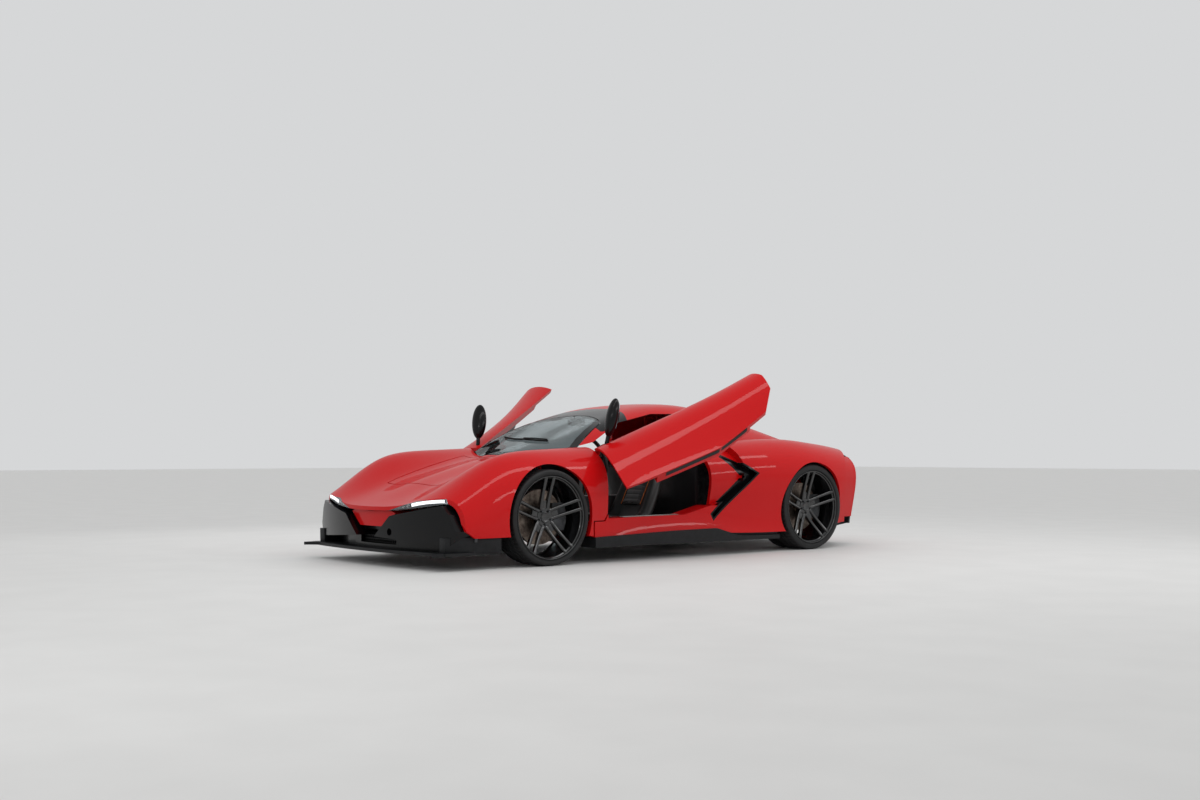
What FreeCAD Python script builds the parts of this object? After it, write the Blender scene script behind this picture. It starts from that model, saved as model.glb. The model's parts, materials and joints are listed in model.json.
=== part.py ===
import FreeCAD, Part
import math
import os

Vector = FreeCAD.Vector

# Driving dimensions, millimetres. X points to the car's left, Y to its tail, Z up.
wheelbase = 2700.0
front_overhang = 950.0
rear_overhang = 900.0
half_width = 1000.0
fender_height = 800.0
roof_height = 1190.0

skin = 28.0
glass = 8.0
intake_depth = 84.0
pocket_depth = 60.0
panel_gap = 5.0
seat_gap = 0.3
overrun = 60.0

# Wheels and tyres.
front_tyre_radius = 338.0
rear_tyre_radius = 349.0
front_tyre_width = 255.0
rear_tyre_width = 305.0
front_wheel_face = 945.0
rear_wheel_face = 975.0
front_rim_radius = 293.0
rear_rim_radius = 296.0
rim_wall = 9.0
tyre_wall = 12.0
hub_radius = 66.0
hub_depth = 124.0
hub_recess = 74.0
hub_cap_depth = 22.0
hat_depth = 24.0
spoke_pairs = 5
spoke_thickness = 24.0
spoke_spacing = 68.0
arch_gap = 37.0
disc_radius = 195.0
disc_thickness = 32.0
stub_radius = 22.0
post_half_height = 150.0
post_width = 44.0
king_pin_radius = 10.0
king_pin_reach = 26.0
link_eye_radius = 13.6

# Doors: the leaf is as thick as the whole door, and it is modelled open.
door_thickness = 90.0
door_lap_thickness = 45.0
door_edge_thickness = 20.0
door_edge_length = 250.0
door_gap = 8.0
door_front_gap = 16.0
door_open_angle = 51.43
door_axis = (0.2756, -0.7738, -0.5703)
hinge_x = 756.2
hinge_past_axle = 510.2
hinge_height = 793.4
hinge_pin_radius = 7.0
lid_pin_radius = 6.0
lid_strap = 14.0
lid_eye_wall = 4.0
lid_gap = 9.0
hood_pin_x = 385.0
hood_pin_height = 740.0
hood_pin_behind = 130.0
deck_pin_x = 250.0
deck_pin_height = 1116.0
deck_pin_behind = 110.0
hinge_pin_length = 70.0
hinge_eye_wall = 7.0
hinge_arm_radius = 8.0
hinge_arm_offset = 48.0
hinge_arm_direction = (-0.845, 0.088, -0.528)
pin_start_share = 1.4
eye_start_share = 1.45
eye_length_share = 0.4
cheek_start_share = 2.05
cheek_length_share = 0.28
arm_end_share = -0.96

# Tub, frame and running gear.
tub_half_width = 735.0
floor_height = 130.0
floor_thickness = 30.0
wall_thickness = 30.0
tunnel_half_width = 110.0
tunnel_height = 330.0
rail_x = 330.0
rail_width = 80.0
rail_height = 110.0
rail_bottom = 190.0
former_thickness = 20.0
firewall_share = 0.155

# Fixings for a stranger: tow eye, number plate and jacking pads.
tow_eye_radius = 8.0
tow_boss_radius = 20.0
tow_eye_depth = 40.0
tow_eye_x = 300.0
tow_eye_height = 245.0
plate_hole_radius = 2.6
plate_hole_spacing = 280.0
plate_hole_height = 690.0
jack_pad_radius = 32.0
jack_pad_depth = 12.0
jack_pad_x = 690.0
jack_pad_shares = (0.19, 0.57)

# Splitter and skirts.
splitter_height = 100.0
splitter_thickness = 22.0
deflector_width = 60.0
fin_thickness = 10.0
fin_height = 70.0
tail_lamp_depth = 27.0

# Cabin and drive.
seat_x = 370.0
seat_width = 480.0
seat_depth = 480.0
seat_height = 190.0
seat_back_height = 620.0
seat_back_thickness = 130.0
seat_recline = 22.0
dash_half_width = 600.0
dash_depth = 260.0
dash_height = 190.0
wheel_ring_radius = 175.0
wheel_ring_section = 15.0
column_radius = 26.0
column_length = 230.0
column_tilt = 22.0
console_width = 200.0
console_height = 120.0
engine_length = 640.0
engine_height = 520.0
gearbox_length = 520.0
gearbox_width = 340.0
gearbox_height = 330.0
exhaust_radius = 52.0
exhaust_wall = 4.0
exhaust_length = 180.0
exhaust_height = 235.0
exhaust_x = 185.0

# Mirrors, closed pose, from the belt of the left door.
mirror_length = 290.0
mirror_width = 120.0
mirror_depth = 96.0
mirror_lean = (0.535, 0.553, 0.638)
mirror_past_axle = 660.0
mirror_foot_x = 800.0
mirror_stalk_radius = 16.0

# Places along the car.
body_length = front_overhang + wheelbase + rear_overhang
front_axle_y = front_overhang - body_length / 2
rear_axle_y = front_axle_y + wheelbase

# Body sections from nose to tail. Stations: -1 nose, 0 and 1 axles, 2 tail.
# Then the height on the centreline, and five points down the side, across
# and up: hood, crown of the fender, shoulder, flank and sill. Across is a
# share of the half width, heights are shares of the fender height.
body_section_shares = (
    (-1.12, 0.475, (0.40, 0.475), (0.66, 0.475), (0.80, 0.44), (0.865, 0.33), (0.84, 0.19)),
    (-0.95, 0.525, (0.40, 0.53), (0.68, 0.54), (0.81, 0.50), (0.885, 0.35), (0.85, 0.19)),
    (-0.74, 0.62, (0.40, 0.63), (0.71, 0.68), (0.86, 0.60), (0.93, 0.40), (0.89, 0.19)),
    (-0.47, 0.75, (0.38, 0.75), (0.76, 0.88), (0.91, 0.74), (0.96, 0.48), (0.94, 0.19)),
    (-0.21, 0.84, (0.38, 0.835), (0.77, 0.985), (0.935, 0.82), (0.972, 0.52), (0.95, 0.20)),
    (0.02, 0.92, (0.38, 0.91), (0.76, 1.01), (0.935, 0.85), (0.972, 0.54), (0.95, 0.21)),
    (0.13, 0.985, (0.40, 0.98), (0.74, 1.02), (0.91, 0.85), (0.945, 0.53), (0.935, 0.21)),
    (0.26, 1.01, (0.40, 1.01), (0.74, 1.025), (0.885, 0.84), (0.905, 0.53), (0.93, 0.22)),
    (0.41, 1.02, (0.40, 1.02), (0.75, 1.03), (0.88, 0.84), (0.89, 0.53), (0.93, 0.22)),
    (0.56, 1.04, (0.40, 1.04), (0.76, 1.04), (0.90, 0.85), (0.90, 0.53), (0.935, 0.22)),
    (0.67, 1.06, (0.40, 1.06), (0.78, 1.06), (0.93, 0.88), (0.925, 0.53), (0.94, 0.21)),
    (0.78, 1.08, (0.40, 1.08), (0.79, 1.09), (0.96, 0.91), (0.955, 0.53), (0.95, 0.20)),
    (0.89, 1.09, (0.40, 1.08), (0.79, 1.115), (0.98, 0.92), (0.98, 0.55), (0.965, 0.20)),
    (1.0, 1.08, (0.40, 1.07), (0.78, 1.11), (0.985, 0.91), (0.992, 0.575), (0.975, 0.21)),
    (1.33, 1.065, (0.40, 1.055), (0.75, 1.08), (0.96, 0.90), (0.975, 0.60), (0.93, 0.24)),
    (1.67, 1.04, (0.40, 1.035), (0.70, 1.04), (0.90, 0.885), (0.92, 0.62), (0.86, 0.27)),
    (2.0, 1.0, (0.38, 1.0), (0.62, 0.99), (0.80, 0.86), (0.82, 0.62), (0.76, 0.29)),
    (2.15, 0.98, (0.36, 0.98), (0.58, 0.97), (0.74, 0.85), (0.76, 0.62), (0.70, 0.30)),
)

# Roof sections: station, height on the centreline, then ridge, roof edge,
# side and foot. Heights are shares of the roof height.
roof_section_shares = (
    (0.074, 0.626, (0.30, 0.62), (0.50, 0.60), (0.56, 0.57), (0.60, 0.53)),
    (0.17, 0.735, (0.32, 0.725), (0.60, 0.69), (0.68, 0.655), (0.72, 0.58)),
    (0.296, 0.857, (0.28, 0.855), (0.50, 0.84), (0.645, 0.76), (0.765, 0.62)),
    (0.407, 0.945, (0.27, 0.94), (0.50, 0.905), (0.655, 0.80), (0.785, 0.62)),
    (0.537, 0.996, (0.27, 0.99), (0.50, 0.952), (0.66, 0.82), (0.785, 0.62)),
    (0.667, 0.996, (0.27, 0.99), (0.48, 0.95), (0.635, 0.81), (0.76, 0.62)),
    (0.796, 0.954, (0.26, 0.947), (0.45, 0.90), (0.585, 0.78), (0.70, 0.62)),
    (0.926, 0.89, (0.25, 0.882), (0.42, 0.835), (0.52, 0.745), (0.62, 0.62)),
    (1.22, 0.81, (0.24, 0.803), (0.38, 0.765), (0.45, 0.70), (0.52, 0.60)),
    (1.667, 0.727, (0.22, 0.72), (0.34, 0.69), (0.40, 0.64), (0.46, 0.56)),
    (1.944, 0.655, (0.20, 0.65), (0.32, 0.62), (0.38, 0.58), (0.43, 0.50)),
)

# Outlines seen from the side: station and share of the fender height.
door_outline_shares = ((0.204, 1.10), (0.204, 0.405), (0.49, 0.41), (0.655, 0.54),
                       (0.70, 0.72), (0.706, 0.90), (0.69, 1.15))
door_lap_share = 0.60
sill_outline_shares = ((0.15, 0.15), (0.15, 0.37), (0.19, 0.37), (0.21, 0.48), (0.63, 0.48),
                       (0.53, 0.15))
clam_outline_shares = ((-1.2, 0.45), (-0.80, 0.50), (-0.745, 0.33), (-0.67, 0.27),
                       (-0.30, 0.27), (0.10, 0.27), (0.145, 0.24), (0.145, 0.38), (0.185, 0.38),
                       (0.21, 0.50), (0.21, 1.25), (-1.2, 1.25))
window_outline_shares = ((0.16, 1.03), (0.235, 1.09), (0.35, 1.275), (0.48, 1.37), (0.59, 1.375),
                         (0.67, 1.29), (0.70, 1.15), (0.69, 1.03))
intake_outline_shares = ((0.667, 0.97), (0.765, 0.79), (0.60, 0.33), (0.59, 0.40),
                         (0.708, 0.755), (0.655, 0.95))

skirt_outline_shares = ((0.145, 0.14), (0.145, 0.232), (0.45, 0.258), (0.60, 0.262), (0.69, 0.18),
                        (0.86, 0.17), (0.86, 0.13))

# Outlines seen from the front: share of the half width and of the fender height.
pod_outline_shares = ((0.12, 0.26), (0.30, 0.445), (0.79, 0.545), (0.855, 0.47), (0.905, 0.33),
                      (0.86, 0.21))
lamp_outline_shares = ((0.27, 0.49), (0.52, 0.575), (0.79, 0.60), (0.80, 0.56), (0.52, 0.515))
chin_outline_shares = ((0.0, 0.345), (0.16, 0.345), (0.295, 0.465), (0.24, 0.485), (0.0, 0.475))
tail_panel_shares = ((0.0, 0.76), (0.72, 0.76), (0.76, 0.94), (0.0, 0.96))
tail_lamp_shares = ((0.34, 0.85), (0.70, 0.84), (0.73, 0.91), (0.34, 0.92))

# Outlines seen from above: share of the half width and station.
windscreen_corner_shares = ((0.63, 0.165), (0.48, 0.305))
header_corner_shares = (0.52, 0.38)
lid_corner_shares = ((0.36, -0.55), (0.43, 0.075))
engine_lid_corner_shares = ((0.34, 0.76), (0.36, 1.62))
cowl_centre_share = 0.09
cowl_side_shares = (0.66, 0.155)
windscreen_top_share = 0.362
header_back_share = 0.44
roof_back_share = 0.735
nose_side_share = -0.68
nose_centre_share = -0.968
lamp_back_share = -0.70
front_former_share = -0.66
cabin_middle_share = 0.5
header_front_share = 0.28
bulkhead_share = 0.60
engine_front_share = 0.63
seat_front_share = 0.25
console_end_shares = (0.27, 0.56)
rear_former_share = 1.72
tail_side_share = 1.35
tail_centre_share = 1.93
tail_panel_back_share = 1.80
bumper_outer_share = 1.62
diffuser_front_share = 1.45
diffuser_back_share = 1.94

# Bowed fronts of the pods, the chin, the grille and the splitter: the side of
# each as a share of the half width, and its stations at the side and centre.
pod_side_share = 0.95
pod_outer_share = -0.80
pod_centre_share = -0.985
chin_side_share = 0.86
chin_outer_share = -0.76
chin_centre_share = -0.93
grille_side_share = -0.72
grille_centre_share = -0.88
splitter_side_share = 0.90
splitter_outer_share = -0.90
splitter_centre_share = -0.985
splitter_back_share = -0.42
splitter_tip_shares = ((0.78, -0.90), (0.87, -1.0), (0.90, -0.86), (0.78, -0.80))
skirt_side_share = 0.955
bumper_side_share = 0.86
diffuser_side_share = 0.66
diffuser_fin_shares = (-0.545, -0.18, 0.18, 0.545)

# Heights as shares of the fender height, and of the roof height for the header.
belt_share = 1.03
header_low_share = 0.80
front_opening_share = 0.62
rear_opening_share = 0.9
deflector_top_share = 0.215
bumper_low_share = 0.36
dash_top_share = 0.96
steering_height_share = 0.94
mirror_foot_share = 1.02
seat_dip_share = 0.7


def along(station):
    """Place along the car of a station: -1 nose, 0 and 1 axles, 2 tail."""
    if station < 0:
        return front_axle_y + station * front_overhang
    if station > 1:
        return rear_axle_y + (station - 1) * rear_overhang
    return front_axle_y + station * wheelbase


def section_wire(station, points):
    """A closed section: one curve over the top and a straight underside."""
    y = along(station)
    left = [Vector(x, y, z) for x, z in reversed(points[1:])]
    right = [Vector(-x, y, z) for x, z in points[1:]]
    route = left + [Vector(0, y, points[0][1])] + right
    curve = Part.BSplineCurve()
    curve.interpolate(route)
    return Part.Wire([curve.toShape(), Part.makeLine(route[-1], route[0])])


def body_volume(inset):
    """The lower body, with every face moved in by the inset and an open underside."""
    wires = []
    drop = overrun if inset else 0
    for station, centre, hood, crown, shoulder, flank, sill in body_section_shares:
        corner = inset * math.sqrt(3) / 2
        points = [(0, centre * fender_height - inset),
                  (hood[0] * half_width, hood[1] * fender_height - inset),
                  (crown[0] * half_width - inset / 2, crown[1] * fender_height - corner),
                  (shoulder[0] * half_width - corner, shoulder[1] * fender_height - inset / 2),
                  (flank[0] * half_width - inset, flank[1] * fender_height),
                  (sill[0] * half_width - inset, sill[1] * fender_height - drop)]
        wires.append(section_wire(station, points))
    return Part.makeLoft(wires, True, False)


def roof_volume(inset):
    """The glasshouse and fastback, with every face moved in by the inset."""
    wires = []
    for station, centre, ridge, edge, side, foot in roof_section_shares:
        corner = inset * math.sqrt(2) / 2
        points = [(0, centre * roof_height - inset),
                  (ridge[0] * half_width, ridge[1] * roof_height - inset),
                  (edge[0] * half_width - corner, edge[1] * roof_height - corner),
                  (side[0] * half_width - inset, side[1] * roof_height - inset / 2),
                  (foot[0] * half_width - inset, foot[1] * roof_height)]
        wires.append(section_wire(station, points))
    return Part.makeLoft(wires, True, False)


def prism(points, direction):
    """A solid from a polygon and the vector it is pushed along."""
    face = Part.Face(Part.makePolygon(points + points[:1]))
    return face.extrude(direction)


def side_prism(shares, x_from, x_to, grow=0):
    """A solid pushed across the car from an outline seen from the side."""
    points = [Vector(x_from, along(s), h * fender_height) for s, h in shares]
    wire = Part.makePolygon(points + points[:1])
    if grow:
        wire = wire.makeOffset2D(grow)
    return Part.Face(wire).extrude(Vector(x_to - x_from, 0, 0))


def box(x0, x1, y0, y1, z0, z1):
    """A box between three pairs of places."""
    return Part.makeBox(x1 - x0, y1 - y0, z1 - z0, Vector(x0, y0, z0))


def across(radius, x0, x1, y, z):
    """A cylinder lying across the car."""
    return Part.makeCylinder(radius, x1 - x0, Vector(x0, y, z), Vector(1, 0, 0))


def mirrored(shape):
    """The same shape on the other side of the car."""
    return shape.mirror(Vector(0, 0, 0), Vector(1, 0, 0))


def both(shape):
    """A shape and its mirror image as separate solids."""
    return [shape, mirrored(shape)]


def export(name, *solids):
    """Write one node from its solids."""
    shape = solids[0] if len(solids) == 1 else Part.makeCompound(list(solids))
    shape.exportStep("parts/" + name + ".step")


def arc_plan(x_side, y_side, y_centre, y_back, z0, z1):
    """A solid seen from above: straight back and sides, bowed front edge."""
    left = Vector(x_side, y_side, z0)
    right = Vector(-x_side, y_side, z0)
    bow = Part.Arc(left, Vector(0, y_centre, z0), right).toShape()
    back = Part.makePolygon([right, Vector(-x_side, y_back, z0), Vector(x_side, y_back, z0), left])
    return Part.Face(Part.Wire([bow] + back.Edges)).extrude(Vector(0, 0, z1 - z0))


top = roof_height + overrun
nose_y = front_axle_y - front_overhang - overrun
belt = belt_share * fender_height
door_hinge = Vector(hinge_x, front_axle_y + hinge_past_axle, hinge_height)
door_turn_axis = Vector(*door_axis)

outer_body = body_volume(0)
outer_roof = roof_volume(0)
outer = outer_body.fuse(outer_roof)
inner = body_volume(skin).fuse(roof_volume(skin))
seat_volume = body_volume(skin + seat_gap).fuse(roof_volume(skin + seat_gap))
door_inner = body_volume(door_thickness)
lap_inner = body_volume(door_lap_thickness)
edge_inner = body_volume(door_edge_thickness)
web_volume = body_volume(door_edge_thickness / 2)
jamb_outer = body_volume(door_lap_thickness + door_gap)
jamb_inner = body_volume(door_lap_thickness + door_gap + skin)


def nose_plan():
    """All of the car behind the bowed line of its nose."""
    side = half_width + overrun
    return arc_plan(side, along(nose_side_share), along(nose_centre_share), body_length, 0, top)


def tail_plan():
    """All of the car ahead of the bowed line of its tail."""
    side = half_width + overrun
    left = Vector(side, along(tail_side_share), 0)
    right = Vector(-side, left.y, 0)
    bow = Part.Arc(left, Vector(0, along(tail_centre_share), 0), right).toShape()
    front = Part.makePolygon([right, Vector(-side, -body_length, 0), Vector(side, -body_length, 0), left])
    return Part.Face(Part.Wire([bow] + front.Edges)).extrude(Vector(0, 0, top))


def wheel_arches():
    """Four cylinders that clear the tyres."""
    reach = half_width + overrun
    front_inner = front_wheel_face - front_tyre_width - 2 * arch_gap
    rear_inner = rear_wheel_face - rear_tyre_width - arch_gap
    front = across(front_tyre_radius + arch_gap, front_inner, reach, front_axle_y, front_tyre_radius)
    rear = across(rear_tyre_radius + arch_gap / 2, rear_inner, reach, rear_axle_y, rear_tyre_radius)
    return both(front) + both(rear)


def plan_quad(corners, grow=0):
    """A symmetric solid seen from above: two corner pairs, front then back."""
    (x0, s0), (x1, s1) = corners
    points = [Vector(x0 * half_width, along(s0), 0), Vector(x1 * half_width, along(s1), 0),
              Vector(-x1 * half_width, along(s1), 0), Vector(-x0 * half_width, along(s0), 0)]
    wire = Part.makePolygon(points + points[:1])
    if grow:
        wire = wire.makeOffset2D(grow)
    return Part.Face(wire).extrude(Vector(0, 0, top))


def cowl_plan():
    """All of the car behind the cowl line."""
    return arc_plan(cowl_side_shares[0] * half_width, along(cowl_side_shares[1]),
                    along(cowl_centre_share), body_length, 0, top)


def screen_plan(grow):
    """The windscreen seen from above, behind the cowl line."""
    (x0, s0), (x1, s1) = windscreen_corner_shares
    foot_l = Vector(x0 * half_width + grow, along(s0), 0)
    top_l = Vector(x1 * half_width + grow, along(s1) + grow, 0)
    foot_r = Vector(-foot_l.x, foot_l.y, 0)
    top_r = Vector(-top_l.x, top_l.y, 0)
    low = Part.Arc(foot_r, Vector(0, along(cowl_centre_share) + panel_gap - grow, 0), foot_l)
    high = Part.Arc(top_l, Vector(0, along(windscreen_top_share) + grow, 0), top_r)
    wire = Part.Wire([low.toShape(), Part.makeLine(foot_l, top_l), high.toShape(),
                      Part.makeLine(top_r, foot_r)])
    return Part.Face(wire).extrude(Vector(0, 0, top))


shell = outer.cut(inner)
nose_cut = nose_plan()
tail_cut = tail_plan()
arches = Part.makeCompound(wheel_arches())
reach = half_width + overrun


def front_clam():
    """The one-piece nose: hood, fenders and cowl, open for the lid and wheels."""
    region = side_prism(clam_outline_shares, -reach, reach)
    panel = shell.common(region).common(nose_cut)
    panel = panel.cut(cowl_plan()).cut(arches)
    panel = panel.cut(side_prism(door_outline_shares, -reach, reach, door_front_gap))
    panel = panel.cut(side_prism(sill_outline_shares, -reach, reach, seat_gap))
    recess = front_view_prism(lamp_outline_shares, nose_y, along(lamp_back_share) + seat_gap, seat_gap)
    panel = panel.cut(Part.makeCompound(both(recess)))
    return panel.cut(plan_quad(lid_corner_shares, lid_gap))


def front_lid():
    """The luggage lid in the hood."""
    return shell.common(plan_quad(lid_corner_shares)).common(
        box(-reach, reach, nose_y, along(cabin_middle_share), fender_height / 2, top))


def windscreen():
    """The laminated screen, as thick as its glass."""
    pane = outer_roof.cut(roof_volume(glass)).common(screen_plan(0))
    return pane.common(box(-reach, reach, nose_y, along(cabin_middle_share), fender_height / 2, top))


def header_region(grow):
    """The dark band over the windscreen, seen from above."""
    x = header_corner_shares[0] * half_width
    y = along(header_corner_shares[1])
    left = Vector(x + overrun, y + grow, 0)
    right = Vector(-x - overrun, y + grow, 0)
    bow = Part.Arc(left, Vector(0, along(header_back_share) + grow, 0), right).toShape()
    front = Part.makePolygon([right, Vector(right.x, along(header_front_share), 0),
                              Vector(left.x, along(header_front_share), 0), left])
    return Part.Face(Part.Wire([bow] + front.Edges)).extrude(Vector(0, 0, top))


def closed_door_room():
    """The room that the closed left door takes, with its gap above."""
    raised = outer_body.copy()
    raised.translate(Vector(door_gap, 0, door_gap))
    outline = side_prism(door_outline_shares, 0, reach, door_gap)
    return outer_body.fuse(raised).common(outline).cut(body_volume(door_thickness + door_gap))


def greenhouse_parts():
    """The dark header and the red roof, cut from one shell."""
    above = box(-reach, reach, front_axle_y, along(roof_back_share), belt, top)
    region = shell.common(above).cut(screen_plan(panel_gap))
    region = region.cut(side_prism(window_outline_shares, -reach, reach))
    region = region.cut(Part.makeCompound(both(closed_door_room())))
    header = region.common(header_region(0)).common(
        box(-reach, reach, front_axle_y, rear_axle_y, header_low_share * roof_height, top))
    roof = region.cut(header_region(seat_gap).common(
        box(-reach, reach, front_axle_y, rear_axle_y, header_low_share * roof_height - seat_gap, top)))
    return header, roof


def largest(shape, count=1):
    """The largest solids of a cut, without its crumbs."""
    return sorted(shape.Solids, key=lambda solid: -solid.Volume)[:count]


def rear_clam():
    """The rear quarters, deck and tail in one piece, open for lid and wheels."""
    region = box(-reach, reach, along(cabin_middle_share), body_length, 0, top)
    panel = shell.common(region).common(tail_cut)
    panel = panel.cut(arches)
    panel = panel.cut(plan_quad(engine_lid_corner_shares, panel_gap))
    panel = panel.cut(box(-reach, reach, front_axle_y, along(roof_back_share) + seat_gap,
                          belt - seat_gap, top))
    panel = panel.cut(side_prism(door_outline_shares, -reach, reach, door_gap))
    panel = panel.cut(side_prism(sill_outline_shares, -reach, reach, seat_gap))
    return panel.cut(side_prism(intake_outline_shares, -reach, reach, seat_gap))


def engine_lid():
    """The lid over the engine, part of the fastback."""
    return shell.common(plan_quad(engine_lid_corner_shares)).common(
        box(-reach, reach, along(cabin_middle_share), body_length, fender_height / 2, top))


def door_leaf():
    """The left door closed: thick in the middle, thin at its front edge and where it laps the intake."""
    outline = side_prism(door_outline_shares, tub_half_width + panel_gap, reach)
    y_edge = along(door_outline_shares[0][0]) + door_edge_length
    y_lap = along(door_lap_share)
    leaf_box = outer_body.common(outline)
    edge = leaf_box.cut(edge_inner).common(box(0, reach, front_axle_y, y_edge, 0, top))
    thick = leaf_box.cut(door_inner).common(box(0, reach, y_edge, y_lap, 0, top))
    thin = leaf_box.cut(lap_inner).common(box(0, reach, y_lap, rear_axle_y, 0, top))
    return edge.fuse([thick, thin])


def opened(shape):
    """A piece of the left door turned from closed to the open rest pose."""
    turned = shape.copy()
    turned.rotate(door_hinge, door_turn_axis, door_open_angle)
    return turned


def side_sill():
    """The left sill and the jamb that the closed door laps."""
    sill = outer_body.common(side_prism(sill_outline_shares, tub_half_width, reach))
    jamb_region = side_prism(door_outline_shares, tub_half_width, reach, door_gap + skin)
    behind = box(0, reach, along(door_lap_share) + door_gap, rear_axle_y, 0, belt)
    jamb = body_volume(skin + seat_gap).cut(jamb_inner).common(jamb_region).common(behind)
    leaf_room = side_prism(door_outline_shares, 0, reach, door_gap).cut(
        jamb_outer.common(box(0, reach, along(door_lap_share) + door_gap, rear_axle_y, 0, top)))
    duct = side_prism(intake_outline_shares, 0, reach, seat_gap)
    return sill.fuse(jamb).cut(leaf_room).cut(duct).cut(arches)


def side_intake():
    """The dark boomerang duct in the left rear quarter."""
    block = side_prism(intake_outline_shares, tub_half_width, reach)
    body = outer_body.cut(body_volume(intake_depth)).common(block)
    pocket = side_prism(intake_outline_shares, 0, reach, -skin / 2)
    leaf_room = side_prism(door_outline_shares, 0, reach, door_gap).cut(jamb_outer)
    return body.cut(pocket.cut(body_volume(pocket_depth))).cut(leaf_room)


def tub():
    """Floor, firewall, rear bulkhead and tunnel in one piece."""
    y_front = along(firewall_share)
    y_back = along(bulkhead_share)
    floor = box(-tub_half_width, tub_half_width, y_front, y_back, floor_height,
                floor_height + floor_thickness)
    firewall = box(-tub_half_width, tub_half_width, y_front, y_front + wall_thickness,
                   floor_height, fender_height)
    back = box(-tub_half_width, tub_half_width, y_back - wall_thickness, y_back,
               floor_height, fender_height)
    tunnel = box(-tunnel_half_width, tunnel_half_width, y_front, y_back, floor_height,
                 tunnel_height)
    pads = [Part.makeCylinder(jack_pad_radius, jack_pad_depth,
                              Vector(side * jack_pad_x, along(station), floor_height - jack_pad_depth))
            for side in (-1, 1) for station in jack_pad_shares]
    shell_tub = floor.fuse([firewall, back, tunnel]).common(seat_volume).fuse(pads)
    return shell_tub.cut(screen_solid).cut(Part.makeCompound(both(hinge_room())))


def front_frame():
    """A cross former behind the nose, and a rail with its links bolted to each side of it."""
    y0 = along(front_former_share)
    y1 = along(firewall_share)
    former = box(-reach, reach, y0, y0 + former_thickness, rail_bottom, top)
    former = former.common(seat_volume)
    opening = box(-rail_x, rail_x, y0, y0 + former_thickness, rail_bottom + rail_height,
                  front_opening_share * fender_height)
    former = former.cut(opening).fuse(tow_boss())
    rail = box(rail_x - rail_width / 2, rail_x + rail_width / 2, y0 + former_thickness + seat_gap, y1,
               rail_bottom, rail_bottom + rail_height)
    links = wishbones(rail_x, front_wheel_face, front_tyre_radius, front_axle_y)
    return [largest(former)[0]] + both(largest(rail.fuse(links))[0])


def rear_frame():
    """Two rails and a cross former ahead of the tail."""
    y0 = along(bulkhead_share)
    y1 = along(rear_former_share)
    rail = box(rail_x - rail_width / 2, rail_x + rail_width / 2, y0, y1, rail_bottom,
               rail_bottom + rail_height)
    former = box(-reach, reach, y1 - former_thickness, y1, rail_bottom, top)
    former = former.common(seat_volume)
    opening = box(-rail_x, rail_x, y1 - former_thickness, y1, rail_bottom + rail_height,
                  rear_opening_share * fender_height)
    links = [both(link) for link in wishbones(rail_x, rear_wheel_face, rear_tyre_radius, rear_axle_y)]
    return former.cut(opening).fuse(both(rail) + [piece for pair in links for piece in pair])


def revolved(profile, axis_y, axis_z):
    """A solid turned about a line across the car, from radius and X pairs."""
    points = [Vector(x, axis_y + radius, axis_z) for x, radius in profile]
    face = Part.Face(Part.makePolygon(points + points[:1]))
    return face.revolve(Vector(0, axis_y, axis_z), Vector(1, 0, 0), 360)


def tyre(face_x, width, radius, rim_radius, axle_y):
    """A low tyre with rounded shoulders, open inside."""
    inner_x = face_x - width
    bead = rim_radius - rim_wall + seat_gap
    shoulder = (radius - rim_radius) / 3
    bulge = tyre_wall / 2
    seat = rim_wall + seat_gap
    flange = rim_radius + seat_gap
    profile = [(face_x - seat, bead), (face_x - seat, flange),
               (face_x + bulge, rim_radius + shoulder),
               (face_x, radius - shoulder / 2), (face_x - shoulder, radius),
               (inner_x + shoulder, radius), (inner_x, radius - shoulder / 2),
               (inner_x - bulge, rim_radius + shoulder), (inner_x + seat, flange),
               (inner_x + seat, bead), (inner_x + seat + tyre_wall, bead),
               (inner_x + tyre_wall, rim_radius + shoulder),
               (inner_x + shoulder + tyre_wall / 2, radius - tyre_wall),
               (face_x - shoulder - tyre_wall / 2, radius - tyre_wall),
               (face_x - tyre_wall, rim_radius + shoulder),
               (face_x - seat - tyre_wall, bead)]
    return revolved(profile, axle_y, radius)


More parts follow.
